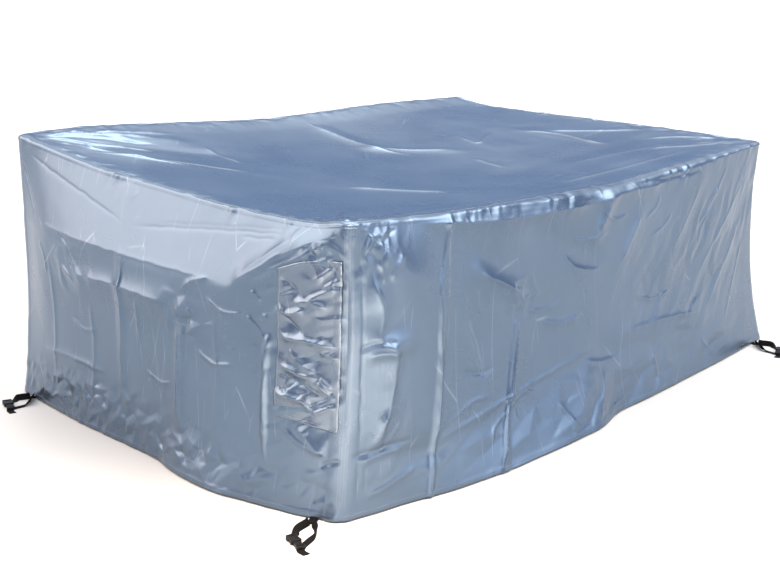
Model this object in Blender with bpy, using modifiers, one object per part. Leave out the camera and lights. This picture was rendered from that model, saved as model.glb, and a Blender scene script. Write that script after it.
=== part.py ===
"""Fitted cover for a set of garden furniture, as it hangs over the set: a top panel, four walls that
flare to the hem, a reinforcing patch beside one corner, and a closed webbing loop with a side-release
buckle at each corner of the hem. The set itself is left out, so the cover is hollow.

Metres, +Z up. +X runs along the long side, +Y from the front to the back. The origin is on the floor,
below the middle of the cover."""
import math
from collections import namedtuple

import bmesh
import bpy
import numpy as np
from mathutils import Matrix, Vector

# Driving dimensions, in metres.
LENGTH = 2.048          # the top panel along X, seam to seam
WIDTH = 1.341           # the top panel along Y
CLOTH = 0.002           # coated cloth
GAP = 0.0003            # between pieces that touch
SEAM_OPENING = 0.0011   # across a seam on the outside, which leaves about GAP on the inside of the bend
HEM_LIFT = 0.004        # the hem over the floor, on top of the webbing
CORNER_RADIUS_TOP = 0.030
CORNER_RADIUS_HEM = 0.055
SAG = 0.028             # the top panel's middle below its edges
SAG_POWER = 0.8         # below 1, the sag is flat in the middle and steep at the edges
PATCH_THICKNESS = 0.0015
PATCH_GAP = 0.0004      # over the wall, which leaves about GAP where the wall bends

# The webbing loops and their buckles.
WEBBING = 0.0013
WEBBING_WIDTH = 0.020
TAB_LENGTH = 0.034
TAB_WIDTH = 0.022
ARM_SPREAD = 0.0065     # each arm from the middle of the tab's end
ARM_STRAIGHT = 0.012    # how far the arms run on straight from the tab
ARM_OPENING = 0.002     # how much further apart they are by then
ARM_TILT = 62           # how far the arms stand up on their edges, in degrees
ARM_STEPS = 5           # lengths of webbing between two bends
ARM_FLAT_STEPS = 3      # lengths that lie flat under the buckle
ARM_TWIST_STEPS = 2     # lengths over which an arm turns from its edge to flat
BUCKLE_LIFT = WEBBING + 2 * GAP  # the buckle lies on the ends of the arms
BUCKLE_WIDTH = 0.028
PLUG_WIDTH = 0.024
BUCKLE_ROUND = 0.0016
SOCKET_LENGTH = 0.036
SOCKET_HEIGHT = 0.011
PLUG_HEIGHT = 0.008
SLOT_WIDTH = 0.0035     # for the webbing, at the outer end of each half
SLOT_BAR = 0.0035       # outside the slot
SLOT_RAIL = 0.003       # beside the slot
SLOT_CUT = 0.040        # height of what cuts the slot

# Shares of the way down a wall: the rounded edge ends, then the sloping band ends at the shoulder.
T_EDGE = 0.06
T_SHOULDER = 0.34
EDGE_TURN = math.radians(75)  # how far the cloth has turned down where the rounded edge ends
FLARE_POWER = 2.2       # how late a wall flares on its way from the shoulder to the hem
SOFT_SHOULDER = 0.012   # height over which the shoulder is blunted

# The mesh of the cloth. Columns run down a wall and rows along it.
LONG_STEP = 0.085       # between the columns of the long walls
SIDE_STEP = 0.080
CREASE_CLEAR = 0.2      # the least share of a step between a crease's columns and the next
ARC_STEPS = 3           # columns across each wall's half of a corner
EDGE_ROWS = 3
# Columns at the creases, as (metres along, half width): three where the half width isn't nought.
FRONT_CREASES = ((0.32, 0.012), (0.675, 0.012))
LEFT_CREASES = ((0.56, 0.0), (0.835, 0.0), (1.147, 0.010), (1.18, 0.0))
BACK_CREASES = tuple((LENGTH - along, half) for along, half in FRONT_CREASES)
RIGHT_CREASES = tuple((WIDTH - along, half) for along, half in LEFT_CREASES)
# Rows of each wall in its sloping band and below it.
BAND_ROWS = {"front": 3, "right": 2, "back": 2, "left": 4}
FALL_ROWS = {"front": 9, "right": 4, "back": 4, "left": 9}
# The patch takes the left wall's columns from here to the corner, and its rows between these shares.
PATCH_FROM = 1.179
PATCH_TOP, PATCH_BOTTOM = 0.33, 0.79
SEAM_FADE = 0.05        # the folds of a wall die away over this beside a corner
TOP_FADE = 4.0          # how fast the folds of the top panel rise from its edges
FOLD_END = 1.5          # how far a fold runs on as it dies away, in its widths
STEP = 0.0005           # for slopes

Wall = namedtuple("Wall", "corner along out length")
WALLS = {
    "front": Wall((-LENGTH / 2, -WIDTH / 2), (1, 0), (0, -1), LENGTH),
    "right": Wall((LENGTH / 2, -WIDTH / 2), (0, 1), (1, 0), WIDTH),
    "back": Wall((LENGTH / 2, WIDTH / 2), (-1, 0), (0, 1), LENGTH),
    "left": Wall((-LENGTH / 2, WIDTH / 2), (0, -1), (-1, 0), WIDTH),
}
ORDER = ("front", "right", "back", "left")  # anticlockwise from above, each starting at its left end

# How each wall hangs, at places along it from its left end as seen from outside.
# along: metres from the left end.     seam: height of the top seam.
# round: radius of the edge below it.  shoulder: height of the shoulder line.
# belly: how far out the shoulder is.  hem: how far out the hem is.
Hang = namedtuple("Hang", "along seam round shoulder belly hem")
HANGS = {
    "front": (
        Hang(0.000, 0.735, 0.012, 0.700, 0.014, 0.024),
        Hang(0.075, 0.728, 0.012, 0.650, 0.038, 0.043),
        Hang(0.150, 0.722, 0.014, 0.590, 0.048, 0.056),
        Hang(0.330, 0.711, 0.020, 0.510, 0.040, 0.097),
        Hang(0.560, 0.701, 0.030, 0.480, 0.040, 0.124),
        Hang(0.900, 0.690, 0.034, 0.470, 0.042, 0.130),
        Hang(1.105, 0.683, 0.034, 0.470, 0.040, 0.092),
        Hang(1.341, 0.690, 0.030, 0.480, 0.036, 0.087),
        Hang(1.700, 0.701, 0.022, 0.490, 0.026, 0.076),
        Hang(2.048, 0.712, 0.012, 0.560, 0.002, 0.055),
    ),
    "right": (
        Hang(0.000, 0.712, 0.012, 0.560, 0.014, 0.072),
        Hang(0.350, 0.722, 0.020, 0.520, 0.032, 0.075),
        Hang(0.700, 0.727, 0.020, 0.510, 0.035, 0.085),
        Hang(1.050, 0.731, 0.020, 0.530, 0.030, 0.075),
        Hang(1.240, 0.738, 0.016, 0.570, 0.022, 0.065),
        Hang(1.341, 0.757, 0.012, 0.590, 0.016, 0.060),
    ),
    "back": (
        Hang(0.000, 0.757, 0.012, 0.590, 0.016, 0.060),
        Hang(0.500, 0.766, 0.020, 0.540, 0.034, 0.090),
        Hang(1.000, 0.762, 0.022, 0.520, 0.038, 0.100),
        Hang(1.500, 0.788, 0.020, 0.540, 0.034, 0.085),
        Hang(1.900, 0.808, 0.016, 0.560, 0.016, 0.064),
        Hang(2.048, 0.806, 0.014, 0.572, 0.006, 0.058),
    ),
    "left": (
        Hang(0.000, 0.806, 0.014, 0.572, 0.018, 0.030),
        Hang(0.170, 0.782, 0.012, 0.562, 0.060, 0.053),
        Hang(0.420, 0.752, 0.012, 0.553, 0.080, 0.077),
        Hang(0.700, 0.735, 0.012, 0.543, 0.086, 0.092),
        Hang(0.860, 0.725, 0.012, 0.538, 0.086, 0.126),
        Hang(0.990, 0.720, 0.012, 0.536, 0.084, 0.135),
        Hang(1.150, 0.719, 0.012, 0.612, 0.062, 0.110),
        Hang(1.260, 0.723, 0.012, 0.672, 0.040, 0.090),
        Hang(1.341, 0.735, 0.012, 0.700, 0.018, 0.062),
    ),
}


def smooth_table(places, values):
    """A function through the places and values, with rounded turns and no overshoot."""
    x, y = np.array(places, float), np.array(values, float)
    slope = np.diff(y) / np.diff(x)
    m = np.zeros(len(x))
    for i in range(1, len(x) - 1):
        if slope[i - 1] * slope[i] > 0:
            m[i] = 2 * slope[i - 1] * slope[i] / (slope[i - 1] + slope[i])
    m[0], m[-1] = slope[0], slope[-1]

    def at(p):
        p = min(max(p, x[0]), x[-1])
        i = min(int(np.searchsorted(x, p, side="right")) - 1, len(x) - 2)
        h = x[i + 1] - x[i]
        u = (p - x[i]) / h
        return ((2 * u**3 - 3 * u**2 + 1) * y[i] + (u**3 - 2 * u**2 + u) * h * m[i]
                + (3 * u**2 - 2 * u**3) * y[i + 1] + (u**3 - u**2) * h * m[i + 1])

    return at


CURVES = {
    wall: {
        field: smooth_table([h.along for h in rows], [getattr(h, field) for h in rows])
        for field in Hang._fields[1:]
    }
    for wall, rows in HANGS.items()
}


def section(wall, along, t):
    """How far out and how high the cloth lies, at a place along a wall and a share t of the way down."""
    seam, edge, shoulder, belly, hem = (CURVES[wall][f](along) for f in Hang._fields[1:])
    if t <= T_EDGE:
        turn = t / T_EDGE * EDGE_TURN
        return edge * math.sin(turn), seam - edge * (1 - math.cos(turn))
    start_out, start_z = edge * math.sin(EDGE_TURN), seam - edge * (1 - math.cos(EDGE_TURN))
    slope = (belly - start_out) / (start_z - shoulder)
    if t <= T_SHOULDER:
        z = start_z + (shoulder - start_z) * (t - T_EDGE) / (T_SHOULDER - T_EDGE)
        out = start_out + slope * (start_z - z)
    else:
        down = (t - T_SHOULDER) / (1 - T_SHOULDER)
        z = shoulder + (HEM_LIFT - shoulder) * down
        out = belly + (hem - belly) * down**FLARE_POWER
    blunt = slope * SOFT_SHOULDER / 2 * math.exp(-abs(z - shoulder) / SOFT_SHOULDER)
    return out - blunt, z


def corner_radius(t):
    return CORNER_RADIUS_TOP + (CORNER_RADIUS_HEM - CORNER_RADIUS_TOP) * t


def place(wall, along, t):
    """The outside of the cloth. along runs from -1 to 0 round the wall's half of its first corner, then
    in metres along the wall, then for 1 more round its half of the last corner."""
    w = WALLS[wall]
    before, after = ORDER[ORDER.index(wall) - 1], ORDER[(ORDER.index(wall) + 1) % 4]
    out_before, out_after = section(before, WALLS[before].length, t)[0], section(after, 0, t)[0]
    radius = corner_radius(t)
    full = w.length + out_before + out_after
    half_corner = math.radians(45) - SEAM_OPENING / 2 / radius
    out, z = section(wall, min(max(along, 0), w.length), t)
    if along < 0:
        turn = half_corner * -along
        run = radius * (1 - math.sin(turn))
    elif along > w.length:
        turn = half_corner * (along - w.length)
        run = full - radius * (1 - math.sin(turn))
    else:
        turn = 0.0
        run = radius + along / w.length * (full - 2 * radius)
    run -= out_before
    out -= radius * (1 - math.cos(turn))
    return np.array([w.corner[k] + w.along[k] * run + w.out[k] * out for k in (0, 1)] + [z])


# Columns down each wall lean by this much from the top seam to the hem, as the cloth's own creases do.
# along: metres from the wall's left end.   lean: how much further along the hem end of a column is.
LEANS = {
    "front": ((0.0, 0.0), (0.32, -0.10), (0.675, -0.19), (1.10, -0.12), (2.048, 0.0)),
    "right": ((0.0, 0.0), (1.341, 0.0)),
    "back": ((0.0, 0.0), (2.048, 0.0)),
    "left": ((0.0, 0.0), (1.341, 0.0)),
}


def lean(wall, along, t):
    """The place along a wall, at a share t of the way down, of the column that starts at along."""
    if not 0 < along < WALLS[wall].length:
        return along
    places, leans = zip(*LEANS[wall])
    return along + t * float(np.interp(along, places, leans))


def columns(length, step, creases=()):
    """Places of the columns of a wall: evenly spaced, three close together at each crease, and those
    round its corners."""
    inner = [length * i / round(length / step) for i in range(round(length / step) + 1)]
    for crease, half in creases:
        clear = half + CREASE_CLEAR * step
        inner = [c for c in inner if abs(c - crease) > clear] + sorted({crease - half, crease, crease + half})
    arc = [i / ARC_STEPS for i in range(1, ARC_STEPS + 1)]
    return [-a for a in reversed(arc)] + sorted(inner) + [length + a for a in arc]


def rows(wall):
    """Shares of the way down a wall: round the edge, down the sloping band, then down to the hem."""
    band_rows, fall_rows = BAND_ROWS[wall], FALL_ROWS[wall]
    edge = [T_EDGE * i / EDGE_ROWS for i in range(EDGE_ROWS)]
    band = [T_EDGE + (T_SHOULDER - T_EDGE) * i / band_rows for i in range(band_rows)]
    fall = [T_SHOULDER + (1 - T_SHOULDER) * i / fall_rows for i in range(fall_rows + 1)]
    return edge + band + fall


# Folds that show from a step away. On a wall, along is metres from its left end and up is the height
# over the floor; on the top, along is X and up is Y. Each runs in a straight line from one end to the
# other and dies away at both. width: half its breadth.   rise: how proud it is, or how deep if negative.
Fold = namedtuple("Fold", "panel along up to_along to_up width rise")
FOLDS = (
    Fold("left", 0.03, 0.755, 0.57, 0.622, 0.022, -0.007),
    Fold("left", 0.57, 0.622, 1.19, 0.688, 0.018, -0.006),
    Fold("left", 0.33, 0.451, 0.80, 0.453, 0.050, 0.008),
    Fold("left", 0.56, 0.530, 0.56, 0.200, 0.020, 0.004),
    Fold("left", 0.835, 0.420, 0.835, 0.150, 0.018, 0.005),
    Fold("left", 1.147, 0.420, 1.147, 0.190, 0.009, 0.005),
    Fold("left", 1.05, 0.575, 1.20, 0.670, 0.022, 0.005),
    Fold("left", 1.20, 0.500, 1.33, 0.530, 0.022, 0.005),
    Fold("left", 1.20, 0.410, 1.33, 0.390, 0.025, -0.005),
    Fold("left", 1.20, 0.290, 1.33, 0.330, 0.022, 0.005),
    Fold("front", 0.320, 0.690, 0.220, 0.000, 0.009, 0.005),
    Fold("front", 0.590, 0.370, 0.485, 0.000, 0.009, 0.004),
    Fold("front", 0.43, 0.542, 0.60, 0.463, 0.030, 0.006),
    Fold("front", 0.00, 0.423, 0.13, 0.424, 0.030, 0.008),
    Fold("front", 0.05, 0.150, 0.23, 0.120, 0.030, -0.006),
    Fold("front", 0.23, 0.117, 1.00, 0.207, 0.045, -0.007),
    Fold("front", 1.13, 0.233, 1.64, 0.198, 0.040, 0.007),
    Fold("front", 1.63, 0.634, 1.45, 0.435, 0.035, 0.007),
    Fold("front", 1.06, 0.640, 1.00, 0.560, 0.030, 0.005),
    Fold("front", 1.23, 0.577, 1.12, 0.452, 0.035, 0.006),
    Fold("front", 1.95, 0.600, 1.55, 0.250, 0.050, 0.010),
    Fold("front", 1.90, 0.400, 1.60, 0.120, 0.050, 0.008),
    Fold("front", 0.70, 0.600, 0.95, 0.500, 0.050, -0.006),
    Fold("top", -0.95, 0.43, -0.63, 0.05, 0.035, 0.005),
    Fold("top", 0.10, 0.50, 0.06, 0.24, 0.035, 0.005),
    Fold("top", 0.06, 0.24, 0.24, 0.06, 0.035, 0.004),
    Fold("top", -0.51, -0.18, -0.32, -0.40, 0.035, 0.004),
    Fold("top", 0.69, 0.08, 0.68, -0.22, 0.035, 0.004),
    Fold("top", -0.50, -0.45, 0.70, -0.50, 0.050, 0.006),
    Fold("top", -0.30, -0.25, 0.80, -0.33, 0.050, -0.005),
    Fold("top", -0.98, 0.60, -0.62, 0.50, 0.040, 0.007),
    Fold("top", -0.98, 0.56, -0.60, 0.36, 0.040, -0.006),
)


def fold_rise(panel, along, up, fade=1.0):
    """How far the folds of a panel lift its cloth at a place on it."""
    total = 0.0
    for f in FOLDS:
        if f.panel != panel:
            continue
        run = np.array([f.to_along - f.along, f.to_up - f.up])
        length = float(np.hypot(*run))
        run /= length
        away = np.array([along - f.along, up - f.up])
        down_it, off_it = float(away @ run), float(away @ [-run[1], run[0]])
        past = max(-down_it, down_it - length, 0.0)
        total += f.rise * math.exp(-((off_it / f.width) ** 2) - (past / (FOLD_END * f.width)) ** 2)
    return total * fade


def wall_point(wall, along, t):
    """The outside of a wall with its folds, which die away at the seams."""
    along = lean(wall, along, t)
    at = place(wall, along, t)
    length = WALLS[wall].length
    seam_fade = min(max(min(along, length - along) / SEAM_FADE, 0.0), 1.0) * min(t / T_EDGE, 1.0)
    rise = fold_rise(wall, min(max(along, 0.0), length), at[2], seam_fade)
    return at + rise * outward(wall, along, t)


def outward(wall, along, t):
    """The direction straight out of a wall at a place on it."""
    low, high = max(along - STEP, -1), min(along + STEP, WALLS[wall].length + 1)
    above, below = max(t - STEP, 0), min(t + STEP, 1)
    across = place(wall, high, t) - place(wall, low, t)
    down = place(wall, along, below) - place(wall, along, above)
    normal = np.cross(down, across)
    return normal / np.linalg.norm(normal)


def grid_mesh(name, grid):
    """A mesh of the quads between the points of a grid, its rows running to the right seen from
    outside and the next row below it."""
    bm = bmesh.new()
    verts = [[bm.verts.new(tuple(p)) for p in row] for row in grid]
    for upper, lower in zip(verts, verts[1:]):
        for i in range(len(upper) - 1):
            bm.faces.new((upper[i], lower[i], lower[i + 1], upper[i + 1]))
    mesh = bpy.data.meshes.new(name)
    bm.to_mesh(mesh)
    bm.free()
    mesh.shade_smooth()
    return mesh


def cloth(name, grid, material, thickness=CLOTH, outwards=-1.0):
    """A sheet of cloth of a thickness, inside the surface that a grid gives, or outside it."""
    obj = bpy.data.objects.new(name, grid_mesh(name, grid))
    COVER.objects.link(obj)
    obj.data.materials.append(material)
    solid = obj.modifiers.new("thickness", "SOLIDIFY")
    solid.thickness = thickness
    solid.offset = outwards
    solid.use_even_offset = True
    return obj


def make_wall(wall, step, creases, material):
    places = columns(WALLS[wall].length, step, creases)
    grid = [[wall_point(wall, along, t) for along in places] for t in rows(wall)]
    return cloth("wall_" + wall, grid, material)


def make_patch(material):
    """The second layer on the left wall beside the near corner, on the wall's own columns and rows."""
    places = [p for p in columns(WIDTH, SIDE_STEP, LEFT_CREASES) if p >= PATCH_FROM]
    downs = [t for t in rows("left") if PATCH_TOP <= t <= PATCH_BOTTOM]
    grid = [
        [wall_point("left", p, t) + PATCH_GAP * outward("left", p, t) for p in places] for t in downs
    ]
    return cloth("corner_patch", grid, material, PATCH_THICKNESS, 1.0)


def make_top(material):
    """The top panel, stretched between the four seams, sagging in the middle."""
    across = columns(LENGTH, LONG_STEP, FRONT_CREASES)
    along = columns(WIDTH, SIDE_STEP, RIGHT_CREASES)
    front = [wall_point("front", c, 0) for c in across]
    back = [wall_point("back", LENGTH - c, 0) for c in across]
    right = [wall_point("right", c, 0) for c in along]
    left = [wall_point("left", WIDTH - c, 0) for c in along]
    share_x = [(p[0] - front[0][0]) / (front[-1][0] - front[0][0]) for p in front]
    share_y = [(p[1] - right[0][1]) / (right[-1][1] - right[0][1]) for p in right]
    inset = np.array([1 - SEAM_OPENING / (LENGTH / 2), 1 - SEAM_OPENING / (WIDTH / 2), 1])
    grid = []
    for j, v in enumerate(share_y):
        row = []
        for i, u in enumerate(share_x):
            corners = ((1 - u) * (1 - v) * front[0] + u * (1 - v) * front[-1]
                       + (1 - u) * v * back[0] + u * v * back[-1])
            at = (1 - v) * front[i] + v * back[i] + (1 - u) * left[j] + u * right[j] - corners
            inside = (16 * u * (1 - u) * v * (1 - v)) ** SAG_POWER if 0 < u < 1 and 0 < v < 1 else 0.0
            at[2] += fold_rise("top", at[0], at[1], min(TOP_FADE * inside, 1.0)) - SAG * inside
            row.append(at * inset)
        grid.append(row)
    return cloth("top_panel", grid[::-1], material)


def ribbon(name, path, tilts, material, lift=0.0):
    """Flat webbing along a path on the floor. Its tilts, in degrees, stand it towards its edge."""
    bm = bmesh.new()
    rings = []
    points = [Vector((*p, 0.0)) for p in path]
    for i, point in enumerate(points):
        ahead = (points[min(i + 1, len(points) - 1)] - points[max(i - 1, 0)]).normalized()
        tilt = math.radians(tilts[i])
        side = Matrix.Rotation(tilt, 3, ahead) @ ahead.cross(Vector((0, 0, 1)))
        face = side.cross(ahead)
        half = WEBBING_WIDTH / 2
        up = GAP + lift + half * abs(math.sin(tilt)) + WEBBING / 2 * abs(math.cos(tilt))
        middle = point + Vector((0, 0, up))
        rings.append([
            bm.verts.new(middle + side * half * a + face * WEBBING / 2 * b)
            for a, b in ((-1, -1), (1, -1), (1, 1), (-1, 1))
        ])
    for one, two in zip(rings, rings[1:]):
        for k in range(4):
            quad = [one[k], one[(k + 1) % 4], two[(k + 1) % 4], two[k]]
            # Both broad sides are split along the same diagonal, so a twist keeps its thickness.
            bm.faces.new(quad[1:] + quad[:1] if k == 2 else quad)
    bmesh.ops.triangulate(bm, faces=bm.faces, quad_method="FIXED")
    bm.faces.new(rings[0][::-1])
    bm.faces.new(rings[-1])
    bmesh.ops.recalc_face_normals(bm, faces=bm.faces)
    mesh = bpy.data.meshes.new(name)
    bm.to_mesh(mesh)
    bm.free()
    obj = bpy.data.objects.new(name, mesh)
    obj.data.materials.append(material)
    COVER.objects.link(obj)
    return obj


def smooth_path(points, steps):
    """A smooth line through points on the floor."""
    pts = [np.array(p, float) for p in points]
    pts = [2 * pts[0] - pts[1], *pts, 2 * pts[-1] - pts[-2]]
    line = []
    for a, b, c, d in zip(pts, pts[1:], pts[2:], pts[3:]):
        for i in range(steps):
            u = i / steps
            line.append(0.5 * (2 * b + (c - a) * u + (2 * a - 5 * b + 4 * c - d) * u**2
                               + (3 * b - a - 3 * c + d) * u**3))
    return line + [pts[-2]]


# The webbing loops. Every point is on the floor. tab: where the tab comes out under the hem.
# first and second: where the two arms bend. socket and plug: the outer ends of the buckle's halves.
# tail: the second arm's free end, past the plug.
Loop = namedtuple("Loop", "name tab first second socket plug tail")
LOOPS = (
    Loop("near", (-1.118, -0.632), (-1.170, -0.638), (-1.152, -0.680), (-1.207, -0.652),
         (-1.231, -0.714), (-1.241, -0.741)),
    Loop("left", (-1.068, 0.632), (-1.108, 0.646), (-1.108, 0.590), (-1.146, 0.648),
         (-1.170, 0.586), (-1.182, 0.559)),
    Loop("right", (0.986, -0.745), (1.000, -0.792), (0.940, -0.790), (0.985, -0.838),
         (0.921, -0.857), (0.893, -0.865)),
    Loop("far", (1.092, 0.724), (1.124, 0.795), (1.168, 0.768), (1.163, 0.863),
         (1.217, 0.827), (1.243, 0.814)),
)


def box(name, size, middle, origin, heading, home):
    """A box of a size about a middle, turned to a heading about an origin on the floor."""
    bpy.ops.mesh.primitive_cube_add(size=1)
    obj = bpy.context.object
    obj.name = name
    obj.data.name = name
    obj.data.transform(Matrix.Translation(middle) @ Matrix.Diagonal((*size, 1)))
    obj.location = (*origin, 0)
    obj.rotation_euler = (0, 0, heading)
    for owner in list(obj.users_collection):
        owner.objects.unlink(obj)
    home.objects.link(obj)
    return obj


def buckle_half(name, origin, heading, length, width, height, material):
    """Half of a buckle: a rounded body from its outer end along heading, with a slot for the webbing at
    its outer end."""
    middle = (length / 2, 0, BUCKLE_LIFT + height / 2)
    body = box(name, (length, width, height), middle, origin, heading, COVER)
    body.data.materials.append(material)
    round_off = body.modifiers.new("edges", "BEVEL")
    round_off.width = BUCKLE_ROUND
    round_off.segments = 2
    slot_size = (SLOT_WIDTH, width - 2 * SLOT_RAIL, SLOT_CUT)
    cutter = box(name + "_slot", slot_size, (SLOT_BAR + SLOT_WIDTH / 2, 0, 0), origin, heading, CUTTERS)
    cutter.hide_render = True
    cutter.display_type = "WIRE"
    cut = body.modifiers.new("slot", "BOOLEAN")
    cut.operation = "DIFFERENCE"
    cut.object = cutter


def make_loop(loop, webbing, plastic):
    """One closed webbing loop: a doubled tab under the hem, two arms, and the buckle between them."""
    name = "strap_" + loop.name
    tab, first, second, socket, plug, tail = (np.array(p) for p in loop[1:])
    way = (first + second) / 2 - tab
    way /= np.linalg.norm(way)
    side = np.array([-way[1], way[0]])
    thick = 2 * WEBBING + GAP
    middle = (-TAB_LENGTH / 2, 0, GAP + thick / 2)
    size = (TAB_LENGTH, TAB_WIDTH, thick)
    sewn = box(name + "_tab", size, middle, tab, math.atan2(way[1], way[0]), COVER)
    sewn.data.materials.append(webbing)

    axis = (plug - socket) / np.linalg.norm(plug - socket)
    inwards = axis * (SLOT_BAR + SLOT_WIDTH / 2)
    turned = 1 if way[0] * (first - second)[1] > way[1] * (first - second)[0] else -1
    for arm, hand, route in (
        ("_arm_a", turned, (first, socket + inwards)),
        ("_arm_b", -turned, (second, plug - inwards, tail)),
    ):
        start = tab + way * GAP + side * hand * ARM_SPREAD
        straight = start + way * ARM_STRAIGHT + side * hand * ARM_OPENING
        path = smooth_path([start, straight, *route], ARM_STEPS)
        bend = (len(route) + 1 if arm == "_arm_a" else len(route)) * ARM_STEPS
        flat_from = bend - ARM_FLAT_STEPS
        upright = [min(1.0, max(flat_from - i, 0) / ARM_TWIST_STEPS) for i in range(len(path))]
        tilts = [hand * ARM_TILT * share for share in upright]
        ribbon(name + arm, path, tilts, webbing)

    heading = math.atan2(axis[1], axis[0])
    length = float(np.linalg.norm(plug - socket))
    buckle_half(name + "_socket", socket, heading, SOCKET_LENGTH, BUCKLE_WIDTH, SOCKET_HEIGHT, plastic)
    buckle_half(name + "_plug", plug, heading + math.pi, length - SOCKET_LENGTH - GAP,
                PLUG_WIDTH, PLUG_HEIGHT, plastic)


def make_material(name, colour, roughness, metallic=0.0):
    material = bpy.data.materials.new(name)
    material.use_nodes = True
    shader = material.node_tree.nodes["Principled BSDF"]
    shader.inputs["Base Color"].default_value = (*colour, 1)
    shader.inputs["Roughness"].default_value = roughness
    shader.inputs["Metallic"].default_value = metallic
    return material


for old in list(bpy.data.objects):
    bpy.data.objects.remove(old)
COVER = bpy.data.collections.new("furniture_cover")
CUTTERS = bpy.data.collections.new("cutters")
for new in (COVER, CUTTERS):
    bpy.context.scene.collection.children.link(new)

fabric = make_material("coated_cloth", (0.30, 0.36, 0.45), 0.35, 0.25)
webbing = make_material("black_webbing", (0.02, 0.02, 0.022), 0.8)
plastic = make_material("black_plastic", (0.015, 0.015, 0.016), 0.4)

make_top(fabric)
make_wall("front", LONG_STEP, FRONT_CREASES, fabric)
make_wall("right", SIDE_STEP, RIGHT_CREASES, fabric)
make_wall("back", LONG_STEP, BACK_CREASES, fabric)
make_wall("left", SIDE_STEP, LEFT_CREASES, fabric)
make_patch(fabric)
for loop in LOOPS:
    make_loop(loop, webbing, plastic)
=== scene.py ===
"""Looks of the furniture cover: the coated cloth of its top, walls and patch as thin sheets with their
folds, creases and stitching, the webbing loops and buckles at its hem, the floor, the light and the
camera. Metres, +Z up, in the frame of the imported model."""
import math
from collections import namedtuple

import bmesh
import bpy
import numpy as np
from mathutils import Matrix, Vector, geometry


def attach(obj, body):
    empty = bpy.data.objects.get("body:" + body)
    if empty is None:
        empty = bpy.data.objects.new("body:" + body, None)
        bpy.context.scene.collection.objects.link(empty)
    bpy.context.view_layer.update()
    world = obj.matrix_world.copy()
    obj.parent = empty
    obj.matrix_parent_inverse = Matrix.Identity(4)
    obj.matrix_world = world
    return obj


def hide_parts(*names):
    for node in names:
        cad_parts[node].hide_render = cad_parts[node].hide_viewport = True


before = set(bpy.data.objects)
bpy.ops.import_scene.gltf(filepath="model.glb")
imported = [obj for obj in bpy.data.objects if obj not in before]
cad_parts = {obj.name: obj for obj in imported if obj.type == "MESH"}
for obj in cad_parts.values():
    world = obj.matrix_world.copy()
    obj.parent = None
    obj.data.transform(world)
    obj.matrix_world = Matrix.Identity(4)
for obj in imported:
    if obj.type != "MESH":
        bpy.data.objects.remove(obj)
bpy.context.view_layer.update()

# The cover's own sizes, as its solids have them.
LENGTH, WIDTH = 2.048, 1.341    # the top panel along X and Y, seam to seam
HEM_LIFT = 0.004                # the hem over the floor
CORNER_RADIUS_TOP, CORNER_RADIUS_HEM = 0.030, 0.055
HALF_CORNER = math.radians(45)
SAG, SAG_POWER = 0.028, 0.8     # how deep and how flatly the top's middle hangs
T_EDGE, T_SHOULDER = 0.06, 0.34  # shares of the way down a wall where its edge and its band end
EDGE_TURN = math.radians(75)    # how far the edge turns down
FLARE_POWER = 2.2               # how late a wall flares out to its hem
SOFT_SHOULDER = 0.012
SEAM_FADE, TOP_FADE = 0.05, 4.0  # how broad folds die away at the seams of a wall and of the top
FOLD_END = 1.5                  # length of a fold's ends, in its widths

# The sheets.
CLOTH = 0.0013                  # thickness
PATCH_LIFT, PATCH_THICK = 0.0014, 0.0011  # the patch's outside over the wall's, and its thickness
PATCH_FROM = 1.179              # where along the left wall it starts
PATCH_TOP, PATCH_BOTTOM = (0.362, 0.395), (0.755, 0.792)  # shares down at its left and right edge
FINE_FADE = 0.009               # creases die away over this beside a seam
FINE_OVER = 0.001               # and they end this far over the top seam
SEAM_WAVE, SEAM_WAVE_LENGTH = 0.0016, 0.11  # how far and how often the top seam wanders up and down
SEAM_WAVE_END = 0.05            # the length over which that starts at a corner
WANDER_REACH = 0.020            # how far in from the seam the top follows it
HEM_BAND, HEM_PROUD, HEM_STEP = 0.022, 0.0008, 0.003  # the turned-up hem's height, rise and step
SEAM_STRIP = (0.002, 0.011)     # the folded seam starts and ends this far below the top's edge
SEAM_PROUD, SEAM_STEP = 0.0010, 0.004
MM = 1000                       # the tables of walls, folds and creases are in millimetres


def in_metres(kind, rows):
    """Rows of millimetres as tuples of a kind in metres."""
    return [kind(*(value / MM for value in row)) for row in rows]


Wall = namedtuple("Wall", "corner along out length")
WALLS = {
    "front": Wall((-LENGTH / 2, -WIDTH / 2), (1, 0), (0, -1), LENGTH),
    "right": Wall((LENGTH / 2, -WIDTH / 2), (0, 1), (1, 0), WIDTH),
    "back": Wall((LENGTH / 2, WIDTH / 2), (-1, 0), (0, 1), LENGTH),
    "left": Wall((-LENGTH / 2, WIDTH / 2), (0, -1), (-1, 0), WIDTH),
}
ORDER = ("front", "right", "back", "left")

# How each wall hangs, at places along it from its left end as seen from outside: the heights of the
# seam and the shoulder, the radius of the edge, and how far out the shoulder and the hem are.
Hang = namedtuple("Hang", "along seam round shoulder belly hem")
HANGS = {}
HANGS["front"] = in_metres(Hang, (
    (0, 735, 12, 700, 14, 24),
    (75, 728, 12, 650, 38, 43),
    (150, 722, 14, 590, 48, 56),
    (330, 711, 20, 510, 40, 97),
    (560, 701, 30, 480, 40, 124),
    (900, 690, 34, 470, 42, 130),
    (1105, 683, 34, 470, 40, 92),
    (1341, 690, 30, 480, 36, 87),
    (1700, 701, 22, 490, 26, 76),
    (2048, 712, 12, 560, 2, 55),
))
HANGS["right"] = in_metres(Hang, (
    (0, 712, 12, 560, 14, 72),
    (350, 722, 20, 520, 32, 75),
    (700, 727, 20, 510, 35, 85),
    (1050, 731, 20, 530, 30, 75),
    (1240, 738, 16, 570, 22, 65),
    (1341, 757, 12, 590, 16, 60),
))
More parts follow.
